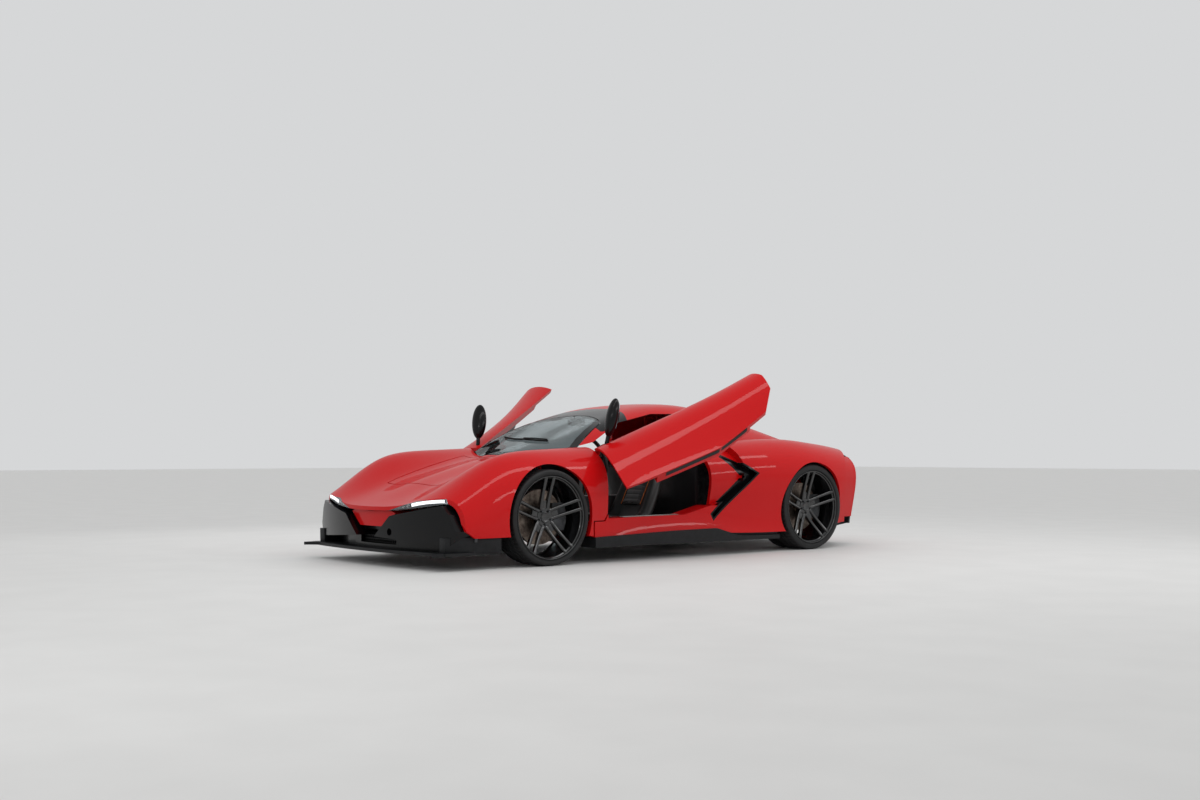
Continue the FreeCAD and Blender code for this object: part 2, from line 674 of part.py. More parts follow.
def rim(face_x, width, radius, rim_radius, axle_y):
    """A barrel with five pairs of twin spokes and a hub."""
    inner_x = face_x - width
    bead = rim_radius - rim_wall
    well = rim_radius - 4 * rim_wall
    barrel = revolved([(face_x, rim_radius), (face_x - rim_wall + seat_gap, rim_radius),
                       (face_x - rim_wall + seat_gap, bead), (face_x - width / 3, bead - rim_wall),
                       (face_x - width / 2, well + rim_wall), (inner_x + width / 4, well + rim_wall),
                       (inner_x + rim_wall, bead), (inner_x + rim_wall, rim_radius),
                       (inner_x, rim_radius), (inner_x, bead - rim_wall),
                       (inner_x + width / 4, well), (face_x - width / 2, well),
                       (face_x - width / 3, bead - 2 * rim_wall), (face_x, bead - rim_wall)],
                      axle_y, radius)
    hub = across(hub_radius, face_x - hub_depth, face_x - hub_recess, axle_y, radius)
    bore = across(stub_radius + seat_gap, face_x - hub_depth, face_x - hub_recess - hub_cap_depth,
                  axle_y, radius)
    spokes = []
    for pair in range(spoke_pairs):
        for side in (-1, 1):
            offset = side * spoke_spacing / 2
            profile = [Vector(face_x - hub_recess, offset, 0),
                       Vector(face_x - rim_wall, offset, bead - rim_wall),
                       Vector(face_x - 4 * rim_wall, offset, bead - rim_wall),
                       Vector(face_x - hub_depth + seat_gap, offset, 0)]
            bar = prism(profile, Vector(0, spoke_thickness, 0))
            bar.translate(Vector(0, -spoke_thickness / 2, 0))
            bar.rotate(Vector(0, 0, 0), Vector(1, 0, 0), 360 * pair / spoke_pairs)
            bar.translate(Vector(0, axle_y, radius))
            spokes.append(bar)
    return barrel.fuse([hub] + spokes).cut(bore)


def disc_face(face_x):
    """The outer face of the brake disc, behind its hat."""
    return face_x - hub_depth - hat_depth


def brake_disc(face_x, radius, axle_y):
    """A disc with its hat."""
    x1 = disc_face(face_x)
    disc = across(disc_radius, x1 - disc_thickness, x1, axle_y, radius)
    hat = across(hub_radius, x1, face_x - hub_depth, axle_y, radius)
    bore = across(stub_radius + seat_gap, x1 - disc_thickness, face_x - hub_depth, axle_y, radius)
    return disc.fuse(hat).cut(bore)


def caliper(face_x, radius, axle_y):
    """The caliper behind the axle, clear of the disc."""
    x1 = disc_face(face_x)
    x0 = x1 - disc_thickness
    ring = across(disc_radius + skin, x0 - skin, x1 + skin, axle_y, radius)
    ring = ring.cut(across(disc_radius / 2, x0 - skin, x1 + skin, axle_y, radius))
    ring = ring.cut(across(disc_radius + panel_gap, x0 - panel_gap, x1 + panel_gap, axle_y, radius))
    return ring.common(box(0, half_width, axle_y + disc_radius / 2, axle_y + disc_radius + skin,
                           radius - disc_radius / 2, radius + disc_radius / 2))


def upright(face_x, radius, axle_y):
    """A left upright: back plate, stub axle, arm and caliper."""
    x_back = disc_face(face_x) - disc_thickness - panel_gap
    stub_end = face_x - hub_recess - hub_cap_depth - seat_gap
    stub = across(stub_radius, x_back - skin, stub_end, axle_y, radius)
    plate = across(disc_radius / 2, x_back - skin, x_back, axle_y, radius)
    post = box(x_back - skin, x_back, axle_y - post_width / 2, axle_y + post_width / 2,
               radius - post_half_height, radius + post_half_height)
    arm = box(x_back - skin, x_back, axle_y, axle_y + disc_radius + skin, radius - skin, radius + skin)
    king_pin = Part.makeCylinder(king_pin_radius, 2 * (post_half_height + king_pin_reach),
                                 Vector(x_back - skin / 2, axle_y,
                                        radius - post_half_height - king_pin_reach))
    return stub.fuse([plate, post, arm, king_pin, caliper(face_x, radius, axle_y)])


def knuckle():
    """The left front upright."""
    return upright(front_wheel_face, front_tyre_radius, front_axle_y)


def rear_upright():
    """The left rear upright, carried by the frame."""
    return upright(rear_wheel_face, rear_tyre_radius, rear_axle_y)


def front_view_prism(shares, y0, y1, grow=0):
    """A solid pushed along the car from an outline seen from the front."""
    points = [Vector(x * half_width, y0, h * fender_height) for x, h in shares]
    wire = Part.makePolygon(points + points[:1])
    if grow:
        wire = wire.makeOffset2D(grow)
    return Part.Face(wire).extrude(Vector(0, y1 - y0, 0))


def pod_plan():
    """The bowed block that the front pods are cut from."""
    return arc_plan(pod_side_share * half_width, along(pod_outer_share), along(pod_centre_share),
                    along(front_former_share) - seat_gap, 0, top)


def front_pods():
    """The dark corner pods below the headlamps, the left one open for the tow eye."""
    pod = front_view_prism(pod_outline_shares, nose_y, front_axle_y)
    pod = largest(pod.common(pod_plan()).cut(front_clam_solid))[0]
    return [pod.cut(tow_eye_hole()), mirrored(pod)]


def tow_eye_hole():
    """The round hole round the tow eye boss."""
    return Part.makeCylinder(tow_boss_radius + panel_gap, front_overhang,
                             Vector(tow_eye_x, along(front_former_share), tow_eye_height),
                             Vector(0, -1, 0))


def front_grille():
    """The dark intake wall between splitter and chin."""
    base = splitter_height + splitter_thickness
    crest = chin_outline_shares[0][1] * fender_height
    mouth_x = chin_outline_shares[3][0] * half_width
    wall = arc_plan(chin_side_share * half_width, along(grille_side_share), along(grille_centre_share),
                    along(front_former_share) - seat_gap, base, crest)
    for pod in both(front_view_prism(pod_outline_shares, nose_y, front_axle_y)):
        wall = wall.cut(pod)
    wall = wall.cut(tow_eye_hole())
    return wall.cut(box(-mouth_x, mouth_x, nose_y, along(lamp_back_share), base + skin, crest - skin))


def tow_boss():
    """The threaded boss for a screw-in tow eye, on the front end of the left rail."""
    y1 = along(front_former_share)
    boss = Part.makeCylinder(tow_boss_radius, tow_eye_depth, Vector(tow_eye_x, y1, tow_eye_height),
                             Vector(0, -1, 0))
    return boss.cut(Part.makeCylinder(tow_eye_radius, tow_eye_depth,
                                      Vector(tow_eye_x, y1, tow_eye_height), Vector(0, -1, 0)))


def chin():
    """The panel that slopes back under the leading edge of the hood."""
    half = front_view_prism(chin_outline_shares, nose_y, front_axle_y)
    plate = half.fuse(mirrored(half))
    face = arc_plan(chin_side_share * half_width, along(chin_outer_share), along(chin_centre_share),
                    along(front_former_share) - seat_gap, 0, top)
    return plate.common(face).cut(front_clam_solid)


def headlamp():
    """The left headlamp, a thin wedge let into the edge of the hood."""
    lamp = front_view_prism(lamp_outline_shares, nose_y, along(lamp_back_share))
    lamp = lamp.common(nose_cut).common(outer_body)
    return lamp.cut(Part.makeCompound([pod_solids[0], chin_solid]))


def splitter():
    """The flat blade below the nose with its forward tips."""
    z0 = splitter_height
    side = splitter_side_share * half_width
    y_back = along(splitter_back_share)
    blade = arc_plan(side, along(splitter_outer_share), along(splitter_centre_share), y_back, z0,
                     z0 + splitter_thickness)
    corners = [Vector(x * half_width, along(station), z0) for x, station in splitter_tip_shares]
    blade = blade.fuse(both(prism(corners, Vector(0, 0, splitter_thickness))))
    deflector = box(side - deflector_width, side, along(front_former_share) + seat_gap, y_back,
                    z0 + splitter_thickness, deflector_top_share * fender_height)
    return blade.fuse(both(deflector)).cut(arches)


def side_skirt():
    """The left skirt below the sill."""
    flat = side_prism(skirt_outline_shares, tub_half_width, skirt_side_share * half_width)
    return flat.cut(sill_solid).cut(rear_clam_solid).cut(arches)


def rear_bumper():
    """The bulging lower tail between the wheels."""
    z0 = bumper_low_share * fender_height
    z1 = tail_panel_shares[0][1] * fender_height
    side = bumper_side_share * half_width
    front = along(rear_former_share)
    points = [Vector(side, along(bumper_outer_share), z0), Vector(-side, along(bumper_outer_share), z0)]
    bow = Part.Arc(points[0], Vector(0, rear_axle_y + rear_overhang, z0), points[1]).toShape()
    back = Part.makePolygon([points[1], Vector(-side, front - overrun, z0),
                             Vector(side, front - overrun, z0), points[0]])
    block = Part.Face(Part.Wire([bow] + back.Edges)).extrude(Vector(0, 0, z1 - z0))
    block = block.cut(box(-reach, reach, rear_axle_y, front, 0, top))
    return block.cut(rear_clam_solid).cut(exhaust_holes())


def tail_panel():
    """The dark recessed panel between the deck and the bumper."""
    y0 = along(rear_former_share)
    half = front_view_prism(tail_panel_shares, y0 + seat_gap, along(tail_panel_back_share))
    holes = [Part.makeCylinder(plate_hole_radius, rear_overhang,
                               Vector(side * plate_hole_spacing / 2, y0, plate_hole_height),
                               Vector(0, 1, 0)) for side in (-1, 1)]
    panel = half.fuse(mirrored(half)).cut(rear_clam_solid).cut(rear_bumper_solid)
    return panel.cut(Part.makeCompound(holes))


def tail_lamp():
    """The left tail lamp on the dark panel."""
    y0 = along(tail_panel_back_share)
    return front_view_prism(tail_lamp_shares, y0, y0 + tail_lamp_depth).cut(rear_clam_solid)


def diffuser():
    """The dark floor blade and fins under the tail."""
    z0 = splitter_height + skin
    side = diffuser_side_share * half_width
    y0 = along(diffuser_front_share)
    y1 = along(diffuser_back_share)
    y_riser = along(rear_former_share)
    plate = prism([Vector(-side, y0, z0), Vector(-side, y1, z0 + 2 * skin),
                   Vector(-side, y1, z0 + 2 * skin + former_thickness),
                   Vector(-side, y0, z0 + former_thickness)], Vector(2 * side, 0, 0))
    riser = box(-side, side, y_riser, y_riser + former_thickness, z0 + skin,
                bumper_low_share * fender_height)
    fins = [box(share * side - fin_thickness / 2, share * side + fin_thickness / 2, y0, y1, z0,
                z0 + fin_height)
            for share in diffuser_fin_shares]
    return plate.fuse([riser] + fins).cut(exhaust_holes()).cut(rear_frame_solid)


def exhaust_holes():
    """The round holes that the exhaust tips stand in."""
    start = Vector(exhaust_x, rear_axle_y, exhaust_height)
    return Part.makeCompound(both(Part.makeCylinder(exhaust_radius + seat_gap, rear_overhang, start,
                                                    Vector(0, 1, 0))))


def exhaust_tip():
    """One round exhaust outlet in the bumper."""
    start = Vector(exhaust_x, along(rear_former_share) + former_thickness, exhaust_height)
    tube = Part.makeCylinder(exhaust_radius, exhaust_length, start, Vector(0, 1, 0))
    return tube.cut(Part.makeCylinder(exhaust_radius - exhaust_wall, exhaust_length,
                                      start + Vector(0, 2 * exhaust_wall, 0), Vector(0, 1, 0)))


def engine():
    """Engine and gearbox as plain blocks on the rear rails."""
    y0 = along(engine_front_share)
    z0 = rail_bottom
    side = rail_x - rail_width / 2 - seat_gap
    block = box(-side, side, y0, y0 + engine_length, z0, z0 + engine_height)
    box_y = y0 + engine_length
    gear = box(-gearbox_width / 2, gearbox_width / 2, box_y, box_y + gearbox_length,
               z0, z0 + gearbox_height)
    return block.fuse(gear)


def seat(x):
    """A bucket seat: cushion and reclined back in one plain solid."""
    y0 = along(seat_front_share)
    z0 = floor_height + floor_thickness
    lean = seat_back_height * math.tan(math.radians(seat_recline))
    y1 = y0 + seat_depth
    profile = [Vector(x - seat_width / 2, y0, z0), Vector(x - seat_width / 2, y0, z0 + seat_height),
               Vector(x - seat_width / 2, y1, z0 + seat_dip_share * seat_height),
               Vector(x - seat_width / 2, y1 + lean, z0 + seat_back_height),
               Vector(x - seat_width / 2, y1 + lean + seat_back_thickness, z0 + seat_back_height),
               Vector(x - seat_width / 2, y1 + seat_back_thickness, z0)]
    return prism(profile, Vector(seat_width, 0, 0))


def dashboard():
    """The dashboard across the cabin."""
    y0 = along(firewall_share) + wall_thickness + seat_gap
    z1 = dash_top_share * fender_height
    z0 = z1 - dash_height
    x = -dash_half_width
    profile = [Vector(x, y0, z0), Vector(x, y0, z1), Vector(x, y0 + dash_depth, z1 - skin),
               Vector(x, y0 + dash_depth, z1 - dash_height / 2), Vector(x, y0 + dash_depth / 2, z0)]
    return prism(profile, Vector(2 * dash_half_width, 0, 0))


def steering_wheel():
    """Ring, spokes and column of the steering wheel."""
    centre = Vector(seat_x, along(firewall_share) + wall_thickness + dash_depth + column_length / 2,
                    steering_height_share * fender_height)
    ring = Part.makeTorus(wheel_ring_radius, wheel_ring_section, centre, Vector(0, 0, 1))
    hub = Part.makeCylinder(column_radius * 2, 2 * wheel_ring_section,
                            centre - Vector(0, 0, wheel_ring_section), Vector(0, 0, 1))
    spoke = box(centre.x - wheel_ring_radius, centre.x + wheel_ring_radius,
                centre.y - wheel_ring_section, centre.y + wheel_ring_section,
                centre.z - wheel_ring_section / 2, centre.z + wheel_ring_section / 2)
    column = Part.makeCylinder(column_radius, column_length, centre, Vector(0, 0, -1))
    wheel = ring.fuse([hub, spoke, column])
    wheel.rotate(centre, Vector(1, 0, 0), column_tilt - 90)
    return wheel.cut(dashboard())


def console():
    """The box over the tunnel between the seats."""
    return box(-console_width / 2, console_width / 2, along(console_end_shares[0]),
               along(console_end_shares[1]),
               tunnel_height + seat_gap, tunnel_height + console_height)


def mirror():
    """The left mirror closed: a shell-shaped head on a stalk."""
    foot = Vector(mirror_foot_x, front_axle_y + mirror_past_axle, mirror_foot_share * fender_height)
    lean = Vector(*mirror_lean)
    head = Part.makeSphere(1)
    scale = FreeCAD.Matrix()
    scale.scale(mirror_width / 2, mirror_depth / 2, mirror_length / 2)
    head = head.transformGeometry(scale)
    head.Placement = FreeCAD.Placement(foot + lean * (mirror_length / 2 + mirror_stalk_radius),
                                       FreeCAD.Rotation(Vector(0, 0, 1), lean))
    stalk = Part.makeCylinder(mirror_stalk_radius, mirror_length, foot - lean * (mirror_length / 2),
                              lean)
    return head.fuse(stalk).cut(leaf)


def hinge_spot(share):
    """A point on the axis of the left door, as a share of the pin length."""
    return door_hinge + door_turn_axis * (share * hinge_pin_length)


def hinge_bracket():
    """The pin of the left door and the shelf that holds its lower end beside the firewall."""
    pin = Part.makeCylinder(hinge_pin_radius, hinge_pin_length, hinge_spot(pin_start_share),
                            door_turn_axis)
    cheek_radius = hinge_pin_radius + hinge_eye_wall
    cheek = Part.makeCylinder(cheek_radius, hinge_pin_length * cheek_length_share,
                              hinge_spot(cheek_start_share), door_turn_axis)
    spot = hinge_spot(cheek_start_share + cheek_length_share / 2)
    y0 = spot.y - cheek_radius / 2
    z1 = spot.z - hinge_arm_offset
    shelf = box(tub_half_width + seat_gap, spot.x + cheek_radius, y0,
                along(firewall_share) + wall_thickness, z1 - cheek_radius, z1)
    riser = box(spot.x, spot.x + cheek_radius, y0, y0 + cheek_radius, z1 - hinge_eye_wall, spot.z)
    return pin.fuse([cheek, shelf, riser])


def rod(start, end, radius):
    """A round bar between two points."""
    way = end - start
    return Part.makeCylinder(radius, way.Length, start, way)


def hinge_eye():
    """The eye of the left door round its pin, and the arm that runs back under the cowl to the leaf."""
    eye = Part.makeCylinder(hinge_pin_radius + hinge_eye_wall, hinge_pin_length * eye_length_share,
                            hinge_spot(eye_start_share), door_turn_axis)
    offset = Vector(*hinge_arm_direction) * hinge_arm_offset
    middle = hinge_spot(eye_start_share + eye_length_share / 2)
    elbow = middle + offset
    end = hinge_spot(arm_end_share) + offset
    width = 2 * hinge_arm_radius
    z1 = end.z - hinge_arm_radius / 2
    web = box(end.x - hinge_arm_radius, reach, end.y - hinge_arm_radius, end.y + width,
              z1 - width, z1).common(web_volume)
    arm = rod(middle, elbow, hinge_arm_radius).fuse(
        [rod(elbow, end, hinge_arm_radius), Part.makeSphere(hinge_arm_radius, elbow), web])
    bore = Part.makeCylinder(hinge_pin_radius + seat_gap, body_length, hinge_spot(arm_end_share),
                             door_turn_axis)
    return eye.fuse(arm).cut(bore)


def hinge_room():
    """The round room in the corner of the firewall that the door's arm turns in."""
    radius = hinge_arm_offset + hinge_arm_radius + panel_gap
    start = hinge_spot(arm_end_share)
    return rod(start, hinge_spot(cheek_start_share), radius)


def gooseneck(x, edge_y, behind, pin_z, forward):
    """The strap of a lid that dips under the panel it is hinged to."""
    pin_y = edge_y - forward * behind
    half = lid_strap / 2
    low = behind + lid_strap
    high = behind - lid_strap
    rise = behind / 4
    points = [Vector(x - half, pin_y + forward * ahead, pin_z + up) for ahead, up in (
        (0, half), (-half, 0), (half, -low), (behind + rise + lid_strap, -low),
        (behind + rise + lid_strap, rise), (behind + rise, rise), (behind + rise, -high),
        (2 * lid_strap, -high))]
    strap = prism(points, Vector(lid_strap, 0, 0))
    eye = across(lid_pin_radius + lid_eye_wall, x - half, x + half, pin_y, pin_z)
    bore = across(lid_pin_radius + seat_gap, x - lid_strap, x + lid_strap, pin_y, pin_z)
    return strap.fuse(eye).cut(bore)


def lid_pin(x, edge_y, behind, pin_z, forward, panel):
    """The pin of a lid hinge with the lug that hangs it from the panel."""
    pin_y = edge_y - forward * behind
    pin = across(lid_pin_radius, x - lid_strap, x + 2 * lid_strap, pin_y, pin_z)
    lug = box(x + lid_strap, x + 2 * lid_strap, pin_y - lid_strap, pin_y + lid_strap,
              pin_z - lid_strap, pin_z + 2 * skin)
    return sorted(pin.fuse(lug).cut(panel).Solids, key=lambda solid: solid.BoundBox.ZMin)[0]


def hood_pin_lug(x, pin_y, pin_z):
    """The pin of the left hood hinge with the lug that holds it ahead of the firewall."""
    pin = across(lid_pin_radius, x - lid_strap, x + 2 * lid_strap, pin_y, pin_z)
    lug = box(x + lid_strap, x + 2 * lid_strap, pin_y - lid_strap / 2,
              along(firewall_share) - seat_gap, pin_z - lid_strap, pin_z + lid_strap / 2)
    return pin.fuse(lug)


def wishbones(rail_side, face_x, radius, axle_y):
    """Upper and lower links from the rail to the post of a left upright."""
    x_post = disc_face(face_x) - disc_thickness - panel_gap - skin / 2
    bore = Part.makeCylinder(king_pin_radius + seat_gap, 2 * radius, Vector(x_post, axle_y, 0))
    links = []
    for z0, z1 in ((radius + post_half_height + seat_gap, radius + post_half_height + skin),
                   (radius - post_half_height - skin, radius - post_half_height - seat_gap)):
        link = box(rail_side, x_post, axle_y - post_width / 2, axle_y + post_width / 2, z0, z1)
        eye = Part.makeCylinder(link_eye_radius, z1 - z0, Vector(x_post, axle_y, z0))
        links.append(link.fuse(eye).cut(bore))
    tower = box(rail_side - wall_thickness, rail_side + wall_thickness / 2, axle_y - post_width,
                axle_y + post_width, rail_bottom, radius + post_half_height + skin)
    return links + [tower]


os.makedirs("parts", exist_ok=True)

front_clam_solid = largest(front_clam())[0]
hood_edge = along(lid_corner_shares[1][1])
deck_edge = along(engine_lid_corner_shares[0][1])
hood_neck = gooseneck(hood_pin_x, hood_edge, hood_pin_behind, hood_pin_height, -1)
deck_neck = gooseneck(deck_pin_x, deck_edge, deck_pin_behind, deck_pin_height, 1)
lid_solid = largest(front_lid())[0].fuse(both(hood_neck.common(outer)))
deck_solid = largest(engine_lid())[0].fuse(both(deck_neck.common(outer)))
export("front_clam", front_clam_solid)
export("front_lid", lid_solid)
screen_solid = largest(windscreen())[0]
export("windscreen", screen_solid)
header_solid, roof_solid = greenhouse_parts()
export("header", *largest(header_solid))
roof_main = largest(roof_solid)[0]
export("roof", *largest(roof_solid, 3))
rear_clam_solid = largest(rear_clam())[0]
export("rear_clam", rear_clam_solid)
export("engine_lid", deck_solid)
leaf = largest(door_leaf())[0]
door = largest(leaf.fuse(hinge_eye()))[0]
export("door_left", opened(door))
export("door_right", mirrored(opened(door)))
mirror_solid = largest(mirror())[0]
export("mirror_left", opened(mirror_solid))
export("mirror_right", mirrored(opened(mirror_solid)))
hood_pin = hood_pin_lug(hood_pin_x, hood_edge + hood_pin_behind, hood_pin_height)
deck_pin = lid_pin(deck_pin_x, deck_edge, deck_pin_behind, deck_pin_height, 1, roof_main)
export("hinge_brackets", *both(hinge_bracket()), *both(hood_pin), *both(deck_pin))
sill_solid = largest(side_sill())[0]
export("sills", *both(sill_solid))
export("side_intakes", *both(largest(side_intake())[0]))
pod_solids = front_pods()
export("front_fascia", *pod_solids, *largest(front_grille()))
chin_solid = largest(chin())[0]
export("chin", chin_solid)
export("headlamps", *both(largest(headlamp())[0]))
export("splitter_and_skirts", *largest(splitter()), *both(largest(side_skirt())[0]))
rear_bumper_solid = largest(rear_bumper())[0]
export("rear_bumper", rear_bumper_solid)
export("tail_panel", *largest(tail_panel()))
export("tail_lamps", *both(largest(tail_lamp())[0]))
rear_frame_solid = largest(rear_frame())[0]
export("front_frame", *front_frame())
export("rear_frame", rear_frame_solid)
export("diffuser", *largest(diffuser()))
export("exhaust_tips", *both(exhaust_tip()))
export("engine", engine())
export("floor_tub", *largest(tub()))
export("seats", seat(seat_x), seat(-seat_x))
export("dashboard", dashboard(), console())
export("steering_wheel", *largest(steering_wheel()))
for name, face_x, width, radius, rim_radius, axle_y in (
        ("front", front_wheel_face, front_tyre_width, front_tyre_radius, front_rim_radius, front_axle_y),
        ("rear", rear_wheel_face, rear_tyre_width, rear_tyre_radius, rear_rim_radius, rear_axle_y)):
    pieces = {"tyre": tyre(face_x, width, radius, rim_radius, axle_y),
              "rim": rim(face_x, width, radius, rim_radius, axle_y),
              "disc": brake_disc(face_x, radius, axle_y)}
    for piece, shape in pieces.items():
        export(piece + "_" + name + "_left", shape)
        export(piece + "_" + name + "_right", mirrored(shape))
export("knuckle_left", knuckle())
export("knuckle_right", mirrored(knuckle()))
export("rear_uprights", *both(rear_upright()))
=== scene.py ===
"""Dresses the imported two-seat sports car and sets it on a studio floor."""

import json
import math

import bmesh
import bpy
from mathutils import Euler, Matrix, Vector
from mathutils.bvhtree import BVHTree


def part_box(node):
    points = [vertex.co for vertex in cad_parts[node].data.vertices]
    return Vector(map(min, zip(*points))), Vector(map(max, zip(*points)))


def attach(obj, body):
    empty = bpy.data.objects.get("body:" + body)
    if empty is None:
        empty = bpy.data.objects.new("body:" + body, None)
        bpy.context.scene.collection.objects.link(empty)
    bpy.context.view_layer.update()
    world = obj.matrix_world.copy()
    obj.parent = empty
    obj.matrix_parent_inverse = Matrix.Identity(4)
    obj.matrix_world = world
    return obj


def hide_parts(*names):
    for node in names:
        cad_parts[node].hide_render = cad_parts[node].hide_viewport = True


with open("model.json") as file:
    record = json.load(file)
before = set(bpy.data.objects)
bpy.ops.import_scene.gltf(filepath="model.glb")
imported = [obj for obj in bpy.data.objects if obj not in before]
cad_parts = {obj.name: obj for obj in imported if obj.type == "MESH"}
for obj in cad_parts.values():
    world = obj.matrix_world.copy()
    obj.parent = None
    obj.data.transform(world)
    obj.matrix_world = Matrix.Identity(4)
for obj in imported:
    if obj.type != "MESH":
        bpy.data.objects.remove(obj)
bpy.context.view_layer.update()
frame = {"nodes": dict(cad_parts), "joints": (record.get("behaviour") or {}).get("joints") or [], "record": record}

bl_info = {
    "name": "Open-door sports car",
    "version": (1, 0, 0),
    "blender": (4, 5, 0),
    "location": "3D View > Sidebar > Car",
    "description": "Paint, wheels, lamps, seats and trim of a low two-seat car, on a studio floor",
    "category": "Object",
}

nodes = frame["nodes"]
joints = {joint["name"]: joint for joint in frame["joints"]}
front_axle = Vector(joints["wheel_front_left_spin"]["pos_m"])
mm = 0.001
both_sides = (("left", 1.0), ("right", -1.0))
inward, down = Vector((-1.0, 0.0, 0.0)), Vector((0.0, 0.0, -1.0))
rearward, forward = Vector((0.0, 1.0, 0.0)), Vector((0.0, -1.0, 0.0))


# Colours and shader nodes


def shares_of(text):
    """An sRGB hex value as the three shares that a colour property holds."""
    return [int(text[i:i + 2], 16) / 255 for i in (1, 3, 5)]


def linear(text):
    """The linear colour of an sRGB hex value."""
    return [c / 12.92 if c <= 0.04045 else ((c + 0.055) / 1.055) ** 2.4 for c in shares_of(text)] + [1.0]


def hex_of(colour):
    """The sRGB hex value of a colour property."""
    return "#" + "".join(f"{round(255 * channel):02X}" for channel in colour[:3])


def add(material, kind, settings=None, inputs=None):
    """Adds a shader node, sets its properties and fills its sockets with values or links."""
    node = material.node_tree.nodes.new(kind)
    for name, value in (settings or {}).items():
        setattr(node, name, value)
    fill(material, node, inputs or {})
    return node


def fill(material, node, inputs):
    """Gives a node's sockets their values or links."""
    for name, value in inputs.items():
        if isinstance(value, bpy.types.NodeSocket):
            material.node_tree.links.new(value, node.inputs[name])
        else:
            node.inputs[name].default_value = value


def surface(name, colour, roughness, inputs=None, mottled=None, grained=None):
    """A new material with one Principled shader, of an sRGB hex colour, mottled or grained."""
    material = bpy.data.materials.new(name)
    material.use_nodes = True
    shader = material.node_tree.nodes["Principled BSDF"]
    fill(material, shader, {"Base Color": linear(colour), "Roughness": roughness, **(inputs or {})})
    if mottled:
        mottle(material, shader, *mottled)
    if grained:
        grain(material, shader, *grained)
    return material


def patches(material, size_mm, detail):
    """The strength of an uneven pattern whose patches have a real size."""
    place = add(material, "ShaderNodeTexCoord")
    return add(material, "ShaderNodeTexNoise", inputs={
        "Vector": place.outputs["Object"], "Scale": 1.0 / (size_mm * mm), "Detail": detail}).outputs["Fac"]


def grain(material, shader, size_mm, depth_mm, detail=2.0):
    """A raised grain of a real size and depth on the shader's surface."""
    bump = add(material, "ShaderNodeBump", inputs={
        "Height": patches(material, size_mm, detail), "Distance": depth_mm * mm, "Strength": 1.0})
    fill(material, shader, {"Normal": bump.outputs["Normal"]})


def mottle(material, shader, colour_a, colour_b, size_mm):
    """Two near colours in soft patches of a real size."""
    ramp = add(material, "ShaderNodeValToRGB", inputs={"Fac": patches(material, size_mm, 4.0)})
    for stop, position, colour in zip(ramp.color_ramp.elements, (0.35, 0.65), (colour_a, colour_b)):
        stop.position, stop.color = position, linear(colour)
    fill(material, shader, {"Base Color": ramp.outputs["Color"]})


# Materials


def clear_coated_paint(colour):
    """Solid red enamel under clear lacquer: deep, with sharp reflections and a faint orange peel."""
    return surface("clear_coated_enamel", colour, 0.45, {
        "Coat Weight": 0.38, "Coat Roughness": 0.025, "Coat IOR": 1.5, "Specular IOR Level": 0.05},
                   grained=(5.0, 0.01))


def black_lacquer():
    """Gloss black lacquered panels, with sharp reflections on a near black ground."""
    return surface("black_lacquer", "#08080A", 0.22, {
        "Coat Weight": 0.12, "Coat Roughness": 0.03, "Specular IOR Level": 0.18}, grained=(6.0, 0.01))


def moulded_plastic():
    """Moulded polypropylene, dull and slightly uneven, its spark-eroded grain coarse enough to show."""
    return surface("moulded_polypropylene", "#17181A", 0.5, {"Specular IOR Level": 0.25},
                   mottled=("#101113", "#17181A", 40.0), grained=(1.6, 0.12))


def laminated_glass():
    """Laminated screen glass: grey and clear. Its IOR is low, for a thin pane bends light little."""
    return surface("laminated_glass", "#6E7779", 0.0, {
        "Transmission Weight": 1.0, "IOR": 1.14, "Specular IOR Level": 0.06})


def moulded_lens():
    """Clear moulded polycarbonate over the headlamps: a smoky glint with the lamp behind it."""
    return surface("moulded_polycarbonate", "#8D9499", 0.02, {
        "Transmission Weight": 0.75, "IOR": 1.585, "Specular IOR Level": 0.4})


def red_lens():
    """Dark red moulded acrylic over the rear lamps: deep and glassy."""
    return surface("moulded_red_acrylic", "#7A0606", 0.05, {"Transmission Weight": 0.6, "IOR": 1.49})


def cast_aluminium():
    """Sand-cast aluminium of the frame and suspension, dull grey with a coarse skin."""
    return surface("cast_aluminium", "#4A4B4D", 0.55, {"Metallic": 0.9},
                   mottled=("#3E3F41", "#565759", 30.0), grained=(3.0, 0.15))


def woven_carbon():
    """Carbon cloth under satin lacquer: near black, in patches of 4 mm, as wide as its tows."""
    return surface("woven_carbon_twill", "#151516", 0.35, {
        "Coat Weight": 0.5, "Coat Roughness": 0.1}, mottled=("#101011", "#1D1D1F", 4.0))


def machined_iron():
    """Turned grey iron of the brake discs, dulled by a brown bloom of rust."""
    return surface("turned_grey_iron", "#6E665F", 0.38, {"Metallic": 0.85},
                   mottled=("#5C4F47", "#85796F", 25.0))


def powder_coated():
    """Gloss black powder coat of the forged wheels, with a low soft peel."""
    return surface("powder_coated_aluminium", "#0C0C0D", 0.2, {
        "Coat Weight": 0.6, "Coat Roughness": 0.08}, grained=(4.0, 0.02))


def tyre_rubber():
    """Vulcanised rubber: dull black with a slight grey bloom."""
    return surface("vulcanised_rubber", "#131314", 0.62, {"Specular IOR Level": 0.4},
                   mottled=("#101011", "#19191A", 60.0), grained=(2.5, 0.15))


def brushed_steel():
    """Brushed stainless steel of pipes and tread plates: a soft, slightly uneven grey shine."""
    return surface("brushed_stainless_steel", "#9C9A97", 0.25, {"Metallic": 1.0}, grained=(0.8, 0.02))


def zinc_plated_steel():
    """Black zinc-plated steel of the wheel bolts, with a soft metallic glint."""
    return surface("black_zinc_plate", "#4C4D50", 0.3, {"Metallic": 1.0})


